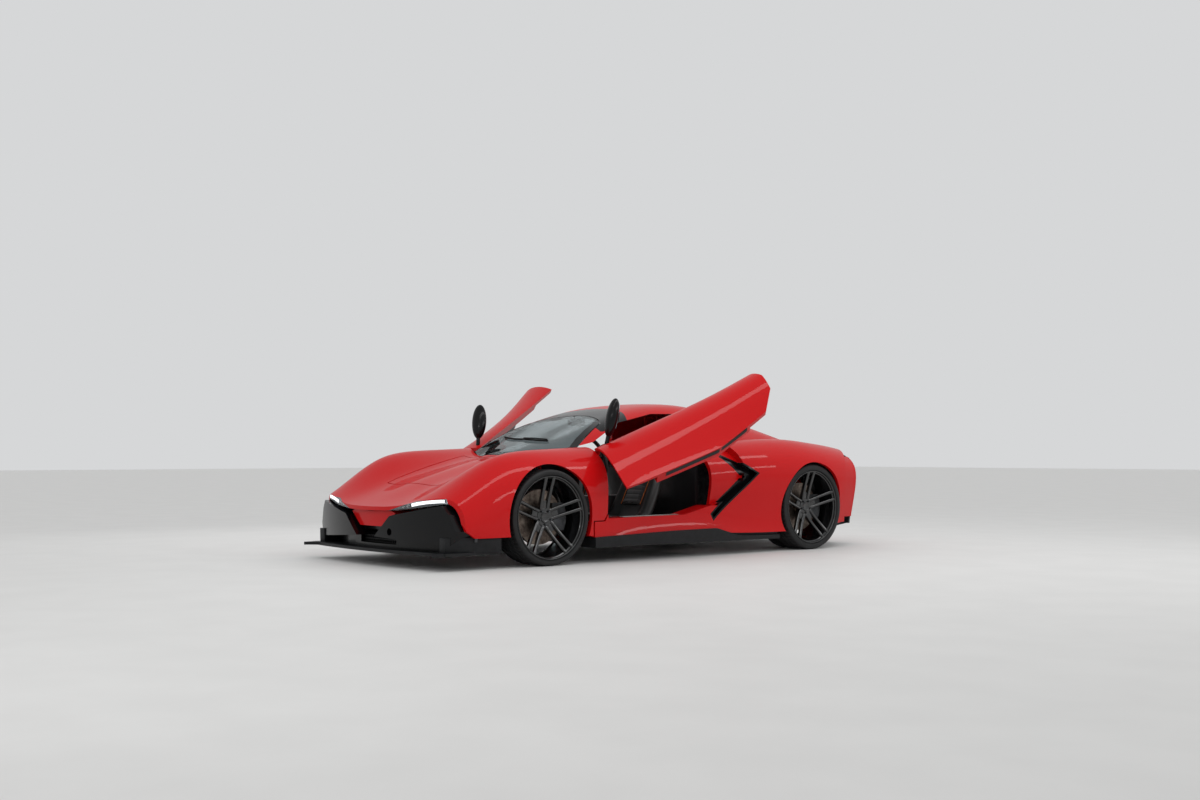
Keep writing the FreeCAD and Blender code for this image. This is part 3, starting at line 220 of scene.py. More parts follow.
def nappa_leather():
    """Black nappa leather, softly shiny. Its pebbles are drawn at 2.2 mm, twice as coarse, to show."""
    return surface("nappa_leather", "#161616", 0.48, grained=(2.2, 0.2, 6.0))


def cabin_cloth():
    """Napped microfibre: charcoal, with a soft sheen. Its nap is drawn at 1.5 mm, coarser, to show."""
    return surface("napped_microfibre", "#1E1F21", 0.9, {
        "Sheen Weight": 0.4, "Sheen Roughness": 0.5}, grained=(1.5, 0.2, 5.0))


def saddle_thread():
    """Waxed tan thread and piping on the seats: a warm matt line on the black leather."""
    return surface("waxed_tan_thread", "#A8571F", 0.7, mottled=("#8E4516", "#BE6A2C", 6.0))


def frosted_lamp():
    """Opal light guide of a daytime lamp, lit from behind: plain white and even."""
    return surface("opal_light_guide", "#F4F6F8", 0.35, {
        "Emission Color": linear("#F4F7FA"), "Emission Strength": 0.9})


def red_light_guide():
    """Red light guide in the tail lamps, faintly lit."""
    return surface("red_light_guide", "#C21010", 0.3, {
        "Emission Color": linear("#E01818"), "Emission Strength": 0.35})


def extruded_rubber():
    """Extruded weather strip: dull black rubber with a flocked, slightly grey face."""
    return surface("extruded_rubber", "#0D0D0E", 0.75, grained=(1.8, 0.1))


def silvered_glass():
    """Silvered mirror glass, with a faint blue cast."""
    return surface("silvered_glass", "#C9D0D6", 0.02, {"Metallic": 1.0})


def chromed_brass():
    """Chrome plate on the lamp rims: bright rings with hard reflections."""
    return surface("chrome_plate", "#D8DADC", 0.08, {"Metallic": 1.0})


def enamelled_plate():
    """Blank white-enamelled aluminium number plate, a little soft at the edges."""
    return surface("enamelled_plate", "#D9DAD8", 0.35, mottled=("#D2D3D1", "#DEDFDD", 50.0))


def expanded_mesh():
    """Black expanded steel mesh in the nose: dull edges before a dark opening."""
    return surface("expanded_steel_mesh", "#101112", 0.4, {"Metallic": 0.6}, grained=(1.5, 0.05))


def finish_named(name):
    """A finish that a step before has made."""
    return bpy.data.materials[name]


# Meshes


def faces_of(node, turn=None):
    """The faces of a CAD node, moved first by a turn, for pieces that lie on them."""
    mesh = nodes[node].data
    points = [turn @ vert.co if turn else vert.co.copy() for vert in mesh.vertices]
    return BVHTree.FromPolygons(points, [tuple(face.vertices) for face in mesh.polygons])


def laid(tree, point, way):
    """Where a point lands on the faces when it moves one way, and the face's outward direction."""
    spot, normal, _, _ = tree.ray_cast(Vector(point), Vector(way).normalized())
    if spot is None:
        raise RuntimeError("nothing to lie on at " + str(tuple(point)))
    if normal.dot(Vector(way)) > 0:
        normal.negate()
    return spot, normal


def strip(shape, spots, width, height, sink=0.001):
    """Adds a flat strip through spots of place and outward direction, with worn corners."""
    sections = []
    for place, (spot, normal) in enumerate(spots):
        ahead = spots[min(place + 1, len(spots) - 1)][0] - spots[max(place - 1, 0)][0]
        side = ahead.cross(normal).normalized() * (width / 2)
        up = side.cross(ahead).normalized()
        edge = min(height, width / 2) * 0.35
        inner = side * (1.0 - 2 * edge / width)
        sections.append([spot - side - up * sink, spot - side + up * (height - edge),
                         spot - inner + up * height, spot + inner + up * height,
                         spot + side + up * (height - edge), spot + side - up * sink])
    bar(shape, sections)


def panel(shape, rows, lift, thick):
    """Adds a thin plate through rows of laid spots."""
    tops = [[shape.verts.new(spot + normal * (lift + thick)) for spot, normal in row] for row in rows]
    lows = [[shape.verts.new(spot + normal * lift) for spot, normal in row] for row in rows]
    deep, wide = len(rows), len(rows[0])
    for r in range(deep - 1):
        for c in range(wide - 1):
            shape.faces.new((tops[r][c], tops[r][c + 1], tops[r + 1][c + 1], tops[r + 1][c]))
            shape.faces.new((lows[r][c], lows[r + 1][c], lows[r + 1][c + 1], lows[r][c + 1]))
    rim = [(0, c) for c in range(wide)] + [(r, wide - 1) for r in range(1, deep)]
    rim += [(deep - 1, c) for c in range(wide - 2, -1, -1)] + [(r, 0) for r in range(deep - 2, 0, -1)]
    for (r, c), (q, d) in zip(rim, rim[1:] + rim[:1]):
        shape.faces.new((tops[r][c], lows[r][c], lows[q][d], tops[q][d]))


def tube(shape, points, radius, sides=8):
    """Adds a round rod through points."""
    sections = []
    for place, point in enumerate(points):
        ahead = (Vector(points[min(place + 1, len(points) - 1)])
                 - Vector(points[max(place - 1, 0)])).normalized()
        across = ahead.orthogonal().normalized() if not sections else (
            across - ahead * across.dot(ahead)).normalized()
        beside = ahead.cross(across)
        sections.append([Vector(point) + across * (radius * math.cos(2 * math.pi * k / sides))
                         + beside * (radius * math.sin(2 * math.pi * k / sides)) for k in range(sides)])
    bar(shape, sections)


def honeycomb(shape, low, high, front, cell, wall, depth):
    """Adds hexagonal cells across an opening that faces the car's nose."""
    rise, outer, back = cell * 0.866, cell * 0.577, front + depth
    inner = outer - wall
    corners = [(math.sin(math.pi * k / 3), math.cos(math.pi * k / 3)) for k in range(6)]
    for row in range(int((high[1] - low[1]) / rise)):
        z = low[1] + rise * (row + 0.5)
        for column in range(int((high[0] - low[0]) / cell)):
            x = low[0] + cell * (column + 0.5 + (0.25 if row % 2 else -0.25))
            rings = [[shape.verts.new((x + radius * across, y, z + radius * up)) for across, up in corners]
                     for radius, y in ((outer, front), (inner, front), (inner, back), (outer, back))]
            bridge(shape, rings + rings[:1])


def on_side(shape, sign, turn=None):
    """Moves a left-hand shape to its side of the car, and through a turn where one is given."""
    way = Matrix.Diagonal((sign, 1.0, 1.0, 1.0))
    if turn is not None:
        way = way @ turn
    bmesh.ops.transform(shape, matrix=way, verts=shape.verts)


def move_new(shape, before, way):
    """Moves what a shape has got since a set of its vertices was taken."""
    bmesh.ops.transform(shape, matrix=way, verts=[vert for vert in shape.verts if vert not in before])


def facing_back(x, y, z):
    """The place of a piece made about X that faces the cabin or the tail."""
    return Matrix.Translation((x, y, z)) @ Matrix.Rotation(math.radians(90.0), 4, "Z")


def door_opening_turn():
    """The turn of the left door from shut to open."""
    hinge = joints["door_left_hinge"]
    pivot, axis = Vector(hinge["pos_m"]), Vector(hinge["axis"])
    angle = -min(math.radians(limit) for limit in hinge["range_deg"])
    return Matrix.Translation(pivot) @ Matrix.Rotation(angle, 4, axis) @ Matrix.Translation(-pivot)


def object_from(name, shape, material, body, smooth=True):
    """Turns a bmesh into a piece with one material that rides on a body."""
    mesh = bpy.data.meshes.new(name)
    bmesh.ops.recalc_face_normals(shape, faces=shape.faces)
    shape.to_mesh(mesh)
    shape.free()
    mesh.materials.append(material)
    piece = bpy.data.objects.new(name, mesh)
    bpy.context.scene.collection.objects.link(piece)
    if smooth:
        mesh.shade_smooth()
        soft = piece.modifiers.new("edges", "EDGE_SPLIT")
        soft.split_angle = math.radians(32.0)
    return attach(piece, body)


def bridge(shape, rings):
    """Joins each closed ring of vertices to the next one."""
    for ring, beside in zip(rings, rings[1:]):
        for a in range(len(ring)):
            b = (a + 1) % len(ring)
            shape.faces.new((ring[a], ring[b], beside[b], beside[a]))


def lathe(shape, profile, segments, dent=None):
    """Adds a closed profile of (x, radius) points turned about the X axis."""
    rings = []
    for step in range(segments):
        angle = 2 * math.pi * step / segments
        ring = []
        for place, (x, radius) in enumerate(profile):
            r = radius - (dent(step, place) if dent else 0.0)
            ring.append(shape.verts.new((x, -r * math.sin(angle), r * math.cos(angle))))
        rings.append(ring)
    bridge(shape, rings + rings[:1])


def bar(shape, sections):
    """Adds a closed bar through sections, each a list of points."""
    rings = [[shape.verts.new(point) for point in section] for section in sections]
    bridge(shape, rings)
    shape.faces.new(rings[0][::-1])
    shape.faces.new(rings[-1])


def block(shape, low, high):
    """Adds a plain block between two corners, to be bevelled."""
    made = bmesh.ops.create_cube(shape, size=1.0)
    for vert in made["verts"]:
        vert.co = Vector(low[i] + (vert.co[i] + 0.5) * (high[i] - low[i]) for i in range(3))


def bevelled(piece, width_mm, segments=2):
    """Rounds a piece's sharp edges by a real width."""
    edge = piece.modifiers.new("bevel", "BEVEL")
    edge.width = width_mm * mm
    edge.segments = segments
    edge.limit_method = "ANGLE"
    edge.angle_limit = math.radians(40.0)
    piece.modifiers.move(len(piece.modifiers) - 1, 0)
    return piece


def shaped(piece):
    """Applies a piece's modifiers to its mesh."""
    bpy.context.view_layer.update()
    made = bpy.data.meshes.new_from_object(piece.evaluated_get(bpy.context.evaluated_depsgraph_get()))
    piece.modifiers.clear()
    old = piece.data
    piece.data = made
    bpy.data.meshes.remove(old)
    piece.data.shade_smooth()


def smoothed(piece, levels):
    """Rounds a piece's mesh by subdivision."""
    smooth = piece.modifiers.new("smooth", "SUBSURF")
    smooth.levels = smooth.render_levels = levels


def swell(piece, voxel_mm, most):
    """Remeshes a closed pad and lets inner pressure swell it, as its stuffing does."""
    grid = piece.modifiers.new("grid", "REMESH")
    grid.mode = "VOXEL"
    grid.voxel_size = voxel_mm * mm
    shaped(piece)
    first, last, pressure = 1, 20, 4.0
    before = [vert.co.copy() for vert in piece.data.vertices]
    stuffing = piece.modifiers.new("stuffing", "CLOTH")
    stuffing.settings.use_pressure = True
    stuffing.settings.uniform_pressure_force = pressure
    stuffing.settings.effector_weights.gravity = 0.0
    stuffing.point_cache.frame_start, stuffing.point_cache.frame_end = first, last
    for moment in range(first, last + 1):
        bpy.context.scene.frame_set(moment)
    shaped(piece)
    bpy.context.scene.frame_set(first)
    for vert, start in zip(piece.data.vertices, before):
        move = vert.co - start
        if move.length > most:
            vert.co = start + move.normalized() * most


# Operators


class CarFinishes(bpy.types.PropertyGroup):
    """Colours that a user would change."""

    paint: bpy.props.FloatVectorProperty(
        name="Paint", description="Body colour, as sRGB shares", subtype="COLOR_GAMMA",
        size=3, min=0.0, max=1.0, default=shares_of("#BC070B"))
    floor: bpy.props.FloatVectorProperty(
        name="Floor", description="Studio floor colour, as sRGB shares", subtype="COLOR_GAMMA",
        size=3, min=0.0, max=1.0, default=shares_of("#D9D9D8"))


class CarWheels(bpy.types.PropertyGroup):
    """Sizes of the forged wheels."""

    pairs: bpy.props.IntProperty(
        name="Spoke pairs", description="Pairs of twin spokes on each wheel", default=5, min=3, max=12)
    spacing: bpy.props.FloatProperty(
        name="Spoke spacing", description="Between the two bars of a pair", subtype="DISTANCE",
        unit="LENGTH", default=0.068)
    recess: bpy.props.FloatProperty(
        name="Hub recess", description="How far the hub sits behind the wheel's outer face",
        subtype="DISTANCE", unit="LENGTH", default=0.074)


class CarSeats(bpy.types.PropertyGroup):
    """Sizes of the bucket seats' pads."""

    channels: bpy.props.IntProperty(
        name="Sewn channels", description="Cross channels in each pad", default=5, min=1, max=9)
    give: bpy.props.FloatProperty(
        name="Pad swell", description="How far the stuffing may push a pad out", subtype="DISTANCE",
        unit="LENGTH", default=0.008)


class CAR_OT_finishes(bpy.types.Operator):
    """Gives every CAD node the material of the real piece"""

    bl_idname = "car.finishes"
    bl_label = "Finish the body, frame and wheels"

    def execute(self, context):
        paint = clear_coated_paint(hex_of(context.scene.car_finishes.paint))
        by_slot = {
            "red_paint": paint,
            "gloss_black": black_lacquer(),
            "satin_black": moulded_plastic(),
            "screen_glass": laminated_glass(),
            "clear_lens": moulded_lens(),
            "red_lens": red_lens(),
            "frame_metal": cast_aluminium(),
            "engine_metal": cast_aluminium(),
            "steel": brushed_steel(),
            "seat_leather": nappa_leather(),
            "tyre_rubber": tyre_rubber(),
            "wheel_black": powder_coated(),
            "disc_iron": machined_iron(),
        }
        special = {"dashboard": cabin_cloth(), "floor_tub": woven_carbon()}
        for part in frame["record"]["subparts"]:
            node = nodes[part["node"]]
            finish = special.get(part["node"], by_slot[part["material_slot"]])
            for slot in node.material_slots:
                slot.material = finish
        return {"FINISHED"}


class CAR_OT_wheels(bpy.types.Operator):
    """Makes the forged twin-spoke wheels and the low tyres"""

    bl_idname = "car.wheels"
    bl_label = "Make wheels and tyres"

    def execute(self, context):
        sizes = context.scene.car_wheels
        coat, rubber = finish_named("powder_coated_aluminium"), finish_named("vulcanised_rubber")
        bolt = zinc_plated_steel()
        for end in ("_front_", "_rear_"):
            for side, sign in both_sides:
                self.make_wheel(sizes, end + side, sign, coat, bolt)
                self.make_tyre(end + side, sign, rubber)
        return {"FINISHED"}

    def place(self, piece, node, sign):
        """Puts a piece made about the X axis on the outer face of its CAD node."""
        low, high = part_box(node)
        face = high.x if sign > 0 else low.x
        turn = Matrix.Diagonal((sign, 1.0, 1.0, 1.0))
        centre = Vector((face, (low.y + high.y) / 2, (low.z + high.z) / 2))
        piece.data.transform(Matrix.Translation(centre) @ turn)
        if sign < 0:
            piece.data.flip_normals()

    def make_wheel(self, sizes, corner, sign, coat, bolt):
        node = "rim" + corner
        low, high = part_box(node)
        radius, width = (high.z - low.z) / 2, high.x - low.x
        shape = bmesh.new()
        self.add_barrel(shape, radius, width)
        for pair in range(sizes.pairs):
            before = set(shape.verts)
            for hand in (-1.0, 1.0):
                self.add_spoke(shape, sizes, radius, hand)
            self.add_web(shape, sizes)
            move_new(shape, before, Matrix.Rotation(2 * math.pi * pair / sizes.pairs, 4, "X"))
        self.add_hub(shape, sizes)
        piece = object_from("wheel" + corner, shape, coat, "wheel" + corner)
        self.place(piece, node, sign)
        bevelled(piece, 1.6)
        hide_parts(node)
        bolts = bmesh.new()
        self.add_bolts(bolts, sizes)
        heads = object_from("wheel_bolts" + corner, bolts, bolt, "wheel" + corner)
        self.place(heads, node, sign)
        bevelled(heads, 0.8)

    def add_barrel(self, shape, radius, w):
        """The rolled rim of a radius and width, from the outer lip round to its inside."""
        lathe(shape, [
            (0.0, radius - 0.003), (-0.002, radius), (-0.009, radius), (-0.0095, radius - 0.010),
            (-w / 3, radius - 0.018), (-w / 2, radius - 0.028), (-w * 0.75, radius - 0.028),
            (-w + 0.010, radius - 0.010), (-w + 0.008, radius), (-w, radius), (-w, radius - 0.017),
            (-w * 0.75, radius - 0.036), (-w / 2, radius - 0.036), (-w / 3, radius - 0.027),
            (-0.022, radius - 0.019), (-0.016, radius - 0.012), (-0.004, radius - 0.009)], 96)

    def add_spoke(self, shape, sizes, radius, hand):
        """One bar of a twin spoke, bevelled along its face and deeper at the hub."""
        first, last = 0.052, radius - 0.010
        sections = []
        for step in range(9):
            share = step / 8
            r = first + (last - first) * share
            face = -sizes.recess + (sizes.recess - 0.006) * share ** 1.35
            depth = 0.040 - 0.016 * share
            centre = hand * (sizes.spacing / 2) * (0.86 + 0.14 * share)
            half = 0.0135 - 0.0015 * math.sin(math.pi * share)
            land = half - 0.0065
            sections.append([
                (face - depth, centre - half, r), (face - 0.007, centre - half, r),
                (face, centre - land, r), (face, centre + land, r),
                (face - 0.007, centre + half, r), (face - depth, centre + half, r)])
        bar(shape, sections)

    def add_web(self, shape, sizes):
        """The sunk floor between two bars of a pair, at the hub end."""
        half = sizes.spacing / 2
        sections = []
        for share, r in ((0.0, 0.050), (0.35, 0.090), (0.6, 0.118)):
            face = -sizes.recess - 0.010 + 0.012 * share
            sections.append([(face - 0.020, -half, r), (face, -half, r), (face, half, r),
                             (face - 0.020, half, r)])
        bar(shape, sections)

    def add_hub(self, shape, sizes):
        d = sizes.recess
        lathe(shape, [(-d - 0.048, 0.024), (-d - 0.048, 0.066), (-d - 0.006, 0.066),
                      (-d - 0.002, 0.061), (-d - 0.004, 0.040), (-d + 0.004, 0.037),
                      (-d + 0.004, 0.031), (-d + 0.001, 0.029), (-d - 0.001, 0.012),
                      (-d - 0.001, 0.0005), (-d - 0.040, 0.0005)], 60)

    def add_bolts(self, shape, sizes):
        """Five wheel bolts and ten small rim bolts: count, ring and head radius, and first angle."""
        for count, ring, size, turn in ((5, 0.051, 0.0085, 36.0), (10, 0.078, 0.0045, 18.0)):
            for step in range(count):
                angle = 2 * math.pi * step / count + math.radians(turn)
                lift = -sizes.recess + (0.003 if ring < 0.06 else -0.004)
                spot = Vector((lift, -ring * math.sin(angle), ring * math.cos(angle)))
                made = bmesh.ops.create_cone(shape, cap_ends=True, segments=6 if ring < 0.06 else 12,
                                             radius1=size, radius2=size * 0.86, depth=0.012)
                way = Matrix.Translation(spot) @ Matrix.Rotation(math.radians(90.0), 4, "Y")
                bmesh.ops.transform(shape, matrix=way, verts=made["verts"])

    def make_tyre(self, corner, sign, rubber):
        node = "tyre" + corner
        low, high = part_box(node)
        radius, width = (high.z - low.z) / 2, high.x - low.x
        rim_low, rim_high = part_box("rim" + corner)
        seat = (rim_high.z - rim_low.z) / 2
        half = self.half_profile(radius, seat, width / 2)
        profile = half + [(-width - x, r) for x, r in reversed(half)]
        tread = [place for place, (x, r) in enumerate(profile) if r > radius - 0.004]
        outer = {place for place in tread if abs(profile[place][0] + width / 2) > width * 0.24}

        def dent(step, place):
            return 0.005 if place in outer and step % 4 == 0 else 0.0

        shape = bmesh.new()
        lathe(shape, profile, 240, dent)
        piece = object_from("tyre_tread" + corner, shape, rubber, "wheel" + corner)
        self.place(piece, node, sign)
        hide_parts(node)

    def half_profile(self, radius, seat, half):
        """The outer half of a tyre: lining, bead, ribbed sidewall, shoulder and grooved tread."""
        wall = [(-half, radius - 0.022), (-0.045, radius - 0.022), (-0.022, radius - 0.030),
                (-0.020, seat + 0.014), (-0.030, seat + 0.001), (-0.016, seat - 0.006),
                (-0.0155, seat + 0.003), (-0.0075, seat + 0.0045), (-0.0015, seat + 0.008),
                (-0.0010, seat + 0.011), (-0.0030, seat + 0.012), (-0.0008, seat + 0.018),
                (-0.0008, seat + 0.022), (-0.0018, seat + 0.0225), (-0.0018, seat + 0.029),
                (-0.0026, seat + 0.0295), (-0.0034, radius - 0.014), (-0.0060, radius - 0.0085),
                (-0.0105, radius - 0.0045), (-0.018, radius - 0.0020)]
        edge, groove, depth = -0.030, 0.008, 0.007
        ribs = []
        for start in (0.30, 0.72):
            x = edge - (half - 0.030) * start
            ribs += [(x, radius - 0.0006), (x - 0.001, radius - depth),
                     (x - groove, radius - depth), (x - groove - 0.001, radius - 0.0003)]
        return wall + [(edge, radius - 0.0010)] + ribs + [(-half + 0.0005, radius)]


class CAR_OT_lamps(bpy.types.Operator):
    """Fits the daytime lamps, the lamp rims and the red light guides of the tail"""

    bl_idname = "car.lamps"
    bl_label = "Fit the lamps"

    def execute(self, context):
        front, back = faces_of("headlamps"), faces_of("tail_lamps")
        opal, chrome, red = frosted_lamp(), chromed_brass(), red_light_guide()
        for side, sign in both_sides:
            guide = bmesh.new()
            strip(guide, [laid(front, (x, -3.0, z), rearward) for x, z in (
                (0.50, 0.434), (0.56, 0.445), (0.62, 0.4535), (0.68, 0.4595), (0.74, 0.4635),
                (0.775, 0.464))], 0.022, 0.003)
            on_side(guide, sign)
            object_from("daytime_lamp_" + side, guide, opal, "car")
            rims = bmesh.new()
            for x, z, radius in ((0.385, 0.412, 0.008), (0.425, 0.419, 0.010), (0.468, 0.427, 0.012)):
                spot, normal = laid(front, (x, -3.0, z), rearward)
                way = normal.to_track_quat("X", "Z").to_matrix().to_4x4()
                before = set(rims.verts)
                lathe(rims, [(-0.002, radius * 0.74), (0.002, radius * 0.78), (0.003, radius * 0.90),
                             (0.001, radius), (-0.002, radius)], 32)
                move_new(rims, before, Matrix.Translation(spot) @ way)
            on_side(rims, sign)
            object_from("lamp_rims_" + side, rims, chrome, "car")
            tail = bmesh.new()
            for z in (0.695, 0.713):
                strip(tail, [laid(back, (x, 4.0, z), forward)
                             for x in (0.37, 0.45, 0.53, 0.61, 0.67)], 0.006, 0.002)
            on_side(tail, sign)
            object_from("tail_light_guide_" + side, tail, red, "car")
        return {"FINISHED"}


class CAR_OT_meshes(bpy.types.Operator):
    """Fits the black mesh in the nose"""

    bl_idname = "car.meshes"
    bl_label = "Fit the intake mesh"

    def execute(self, context):
        shape = bmesh.new()
        cell, wall, depth = 26 * mm, 2.2 * mm, 10 * mm
        honeycomb(shape, (-0.232, 0.155), (0.232, 0.245), front_axle.y - 0.80, cell, wall, depth)
        object_from("nose_mesh", shape, expanded_mesh(), "car", smooth=False)
        return {"FINISHED"}


class CAR_OT_lower_panels(bpy.types.Operator):
    """Closes the lower edge ahead of the front wheels and ahead of the rear ones"""

    bl_idname = "car.lower_panels"
    bl_label = "Fit the lower panels"

    def execute(self, context):
        plastic = finish_named("moulded_polypropylene")
        # Thickness and lean of a panel, then each section's outer face, place, foot and top.
        panels = ((0.070, 0.004, ((0.850, -2.150, 0.120, 0.222), (0.885, -2.020, 0.118, 0.224),
                                  (0.912, -1.880, 0.118, 0.224), (0.926, -1.745, 0.118, 0.224))),
                  (0.080, 0.002, ((0.918, 0.440, 0.140, 0.200), (0.930, 0.640, 0.140, 0.200),
                                  (0.936, 0.840, 0.140, 0.200), (0.940, 0.985, 0.142, 0.200))))
        for side, sign in both_sides:
            shape = bmesh.new()
            for thick, lean, line in panels:
                bar(shape, [[(x - thick, y, foot), (x, y, foot), (x + lean, y, top),
                             (x + lean - thick, y, top)] for x, y, foot, top in line])
            on_side(shape, sign)
            bevelled(object_from("lower_panels_" + side, shape, plastic, "car"), 3.0)
        return {"FINISHED"}


class CAR_OT_tail_corners(bpy.types.Operator):
    """Closes the tail's corners with painted panels from the rear fenders to the bumper"""

    bl_idname = "car.tail_corners"
    bl_label = "Close the tail corners"

    def execute(self, context):
        paint = finish_named("clear_coated_enamel")
        tree, former = faces_of("rear_clam"), faces_of("rear_frame")
        low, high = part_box("rear_bumper")
        for side, sign in both_sides:
            shape = bmesh.new()
            rows = []
            for step in range(21):
                # Each course runs from under the fender's edge to the former's rim, round it and inward.
                z = 0.250 + 0.0255 * step
                start = self.fender_edge(tree, z) - Vector((0.002, 0.008, 0.0))
                rim = laid(former, (2.0, low.y - 0.010, z), inward)[0]
                spots = [start.lerp(rim + Vector((0.003, 0.0, 0.0)), share / 5) for share in range(6)]
                spots += [rim + Vector((x, y, 0.0)) for x, y in (
                    (0.003, 0.006), (0.001, 0.010), (-0.003, 0.0125), (-0.009, 0.0135))]
                last = Vector((high.x - 0.003, spots[-1].y, z))
                spots += [spots[-1].lerp(last, share / 4) for share in range(1, 5)]
                row = []
                for place, spot in enumerate(spots):
                    ahead = spots[min(place + 1, len(spots) - 1)] - spots[max(place - 1, 0)]
                    row.append((spot, Vector((ahead.y, -ahead.x, 0.0)).normalized()))
                rows.append(row)
            panel(shape, rows, 0.0, 0.0025)
            on_side(shape, sign)
            object_from("tail_corner_" + side, shape, paint, "car")
        return {"FINISHED"}

    def fender_edge(self, tree, z):
        """The rearmost place of the left fender's outer skin at a height, to 4 mm."""
        for step in range(80):
            y = 2.000 - 0.004 * step
            spot = tree.ray_cast(Vector((2.0, y, z)), inward)[0]
            if spot is not None and spot.x > 0.70:
                return spot
        raise RuntimeError("the rear fender has no edge at " + str(z))


class CAR_OT_door_trim(bpy.types.Operator):
    """Lays the weather strips and the inner cards on the doors"""

    bl_idname = "car.door_trim"
    bl_label = "Trim the doors"

    def execute(self, context):
        opened = door_opening_turn()
        tree = faces_of("door_left", opened.inverted())
        rubber, card = extruded_rubber(), finish_named("nappa_leather")
        edge = [(-0.740, 0.324), (-0.60, 0.3245), (-0.45, 0.325), (-0.30, 0.326), (-0.15, 0.3275),
                (-0.02, 0.3285), (0.10, 0.356), (0.18, 0.375), (0.26, 0.3945)]
        for side, sign in both_sides:
            seal = bmesh.new()
            spots = []
            for y, z in edge:
                skin, _ = laid(tree, (2.0, y, z + 0.02), inward)
                spots.append(laid(tree, (skin.x - 0.036, y, 0.0), (0.0, 0.0, 1.0)))
            strip(seal, spots, 0.046, 0.003)
            on_side(seal, sign, opened)
            object_from("door_seal_" + side, seal, rubber, "door_" + side)
            self.make_card(side, sign, tree, opened, card)
        return {"FINISHED"}

    def make_card(self, side, sign, tree, opened, card):
        """The leather card inside a door, with its raised armrest."""
        shape = bmesh.new()
        front, length, top, armrest, across = -0.64, 0.93, 0.70, 0.016, 24
        rows = []
        for course in range(13):
            share = course / 12
            row = []
            for step in range(across + 1):
                y = front + length * step / across
                low = 0.40 + max(0.0, y) * 0.30
                spot, _ = laid(tree, (0.30, y, low + (top - low) * share), -inward)
                ends = min(1.0, 5 * step / across, 3 * (across - step) / across)
                rest = math.exp(-((share - 0.62) / 0.09) ** 2) * ends
                row.append((spot + inward * (armrest * rest), inward))
            rows.append(row)
        panel(shape, rows, 0.001, 0.005)
        on_side(shape, sign, opened)
        object_from("door_card_" + side, shape, card, "door_" + side)


class CAR_OT_sill_plates(bpy.types.Operator):
    """Lays the ribbed tread plates on the sills"""

    bl_idname = "car.sill_plates"
    bl_label = "Lay the tread plates"

    def execute(self, context):
        tree = faces_of("sills")
        metal = finish_named("brushed_stainless_steel")
        for side, sign in both_sides:
            shape = bmesh.new()
            for offset, width, height in ((0.0, 0.052, 0.0015), *(
                    (rib, 0.006, 0.003) for rib in (-0.018, -0.006, 0.006, 0.018))):
                strip(shape, [laid(tree, (0.800 + offset, -0.56 + 0.07 * step, 1.5), down)
                              for step in range(9)], width, height)
            on_side(shape, sign)
            object_from("tread_plate_" + side, shape, metal, "car")
        return {"FINISHED"}


class CAR_OT_glass_trim(bpy.types.Operator):
    """Fits the wiper, the screen's black print, the inner mirror and the door mirrors' glass"""

    bl_idname = "car.glass_trim"
    bl_label = "Fit wiper and mirrors"

    def execute(self, context):
        plastic = finish_named("moulded_polypropylene")
        silver = silvered_glass()
        tree = faces_of("windscreen")
        wiper = bmesh.new()
        spots = [laid(tree, (x, y, 2.0), down) for x, y in (
            (-0.36, -0.775), (-0.20, -0.805), (-0.04, -0.825), (0.12, -0.838), (0.28, -0.842))]
        strip(wiper, [(spot + normal * 0.002, normal) for spot, normal in spots], 0.010, 0.012)
        arm = [spots[2][0] + spots[2][1] * 0.018, spots[3][0] + spots[3][1] * 0.022,
               spots[4][0] + spots[4][1] * 0.020]
        tube(wiper, arm, 0.005)
        object_from("wiper", wiper, plastic, "car")
        self.print_edges(tree)
        inner = bmesh.new()
        y, z = -0.330, 1.035
        outline = [(0.105, 0.0), (0.098, 0.024), (0.06, 0.031), (-0.06, 0.031), (-0.098, 0.024),
                   (-0.105, 0.0), (-0.092, -0.022), (-0.05, -0.030), (0.05, -0.030), (0.092, -0.022)]
        bar(inner, [[(x * scale, y + back, z + up * scale) for x, up in outline]
                    for scale, back in ((0.86, -0.022), (1.0, -0.012), (1.0, 0.0))])
        tube(inner, [(0.0, y - 0.018, z + 0.010), (0.0, y - 0.030, z + 0.050)], 0.007)
        bevelled(object_from("inner_mirror", inner, plastic, "car"), 3.0)
        pane = bmesh.new()
        bar(pane, [[(x * 0.94, y + back, z + up * 0.92) for x, up in outline]
                   for back in (0.0004, 0.0020)])
        object_from("inner_mirror_glass", pane, silver, "car")
        opened = door_opening_turn()
        head = faces_of("mirror_left", opened.inverted())
        lean = Vector((0.535, 0.553, 0.638))
        centre = Vector((0.800, -0.665, 0.816)) + lean * 0.161
        lean.normalize()
        across = lean.cross(rearward).normalized()
        for side, sign in both_sides:
            shape = bmesh.new()
            rows = []
            for row in range(7):
                up = -0.095 + 0.190 * row / 6
                half = 0.042 * math.sqrt(max(0.05, 1.0 - (up / 0.118) ** 2))
                rows.append([laid(head, centre + lean * up + across * half * (c / 3 - 1.0)
                                  + Vector((0.0, 0.5, 0.0)), forward) for c in range(7)])
            panel(shape, rows, 0.0005, 0.0025)
            on_side(shape, sign, opened)
            object_from("mirror_glass_" + side, shape, silver, "door_" + side)
        return {"FINISHED"}

    def print_edges(self, tree):
        """The black enamel print along the screen's side edges, over its glue."""
        for side, sign in both_sides:
            shape = bmesh.new()
            spots = []
            for step in range(13):
                y = -0.90 + 0.035 * step
                x = 0.66
                while tree.ray_cast(Vector((x, y, 2.0)), down)[0] is None:
                    x -= 0.002
                spots.append(laid(tree, (x - 0.030, y, 2.0), down))
            strip(shape, spots, 0.056, 0.0012)
            on_side(shape, sign)
            object_from("screen_print_" + side, shape, finish_named("black_lacquer"), "car")


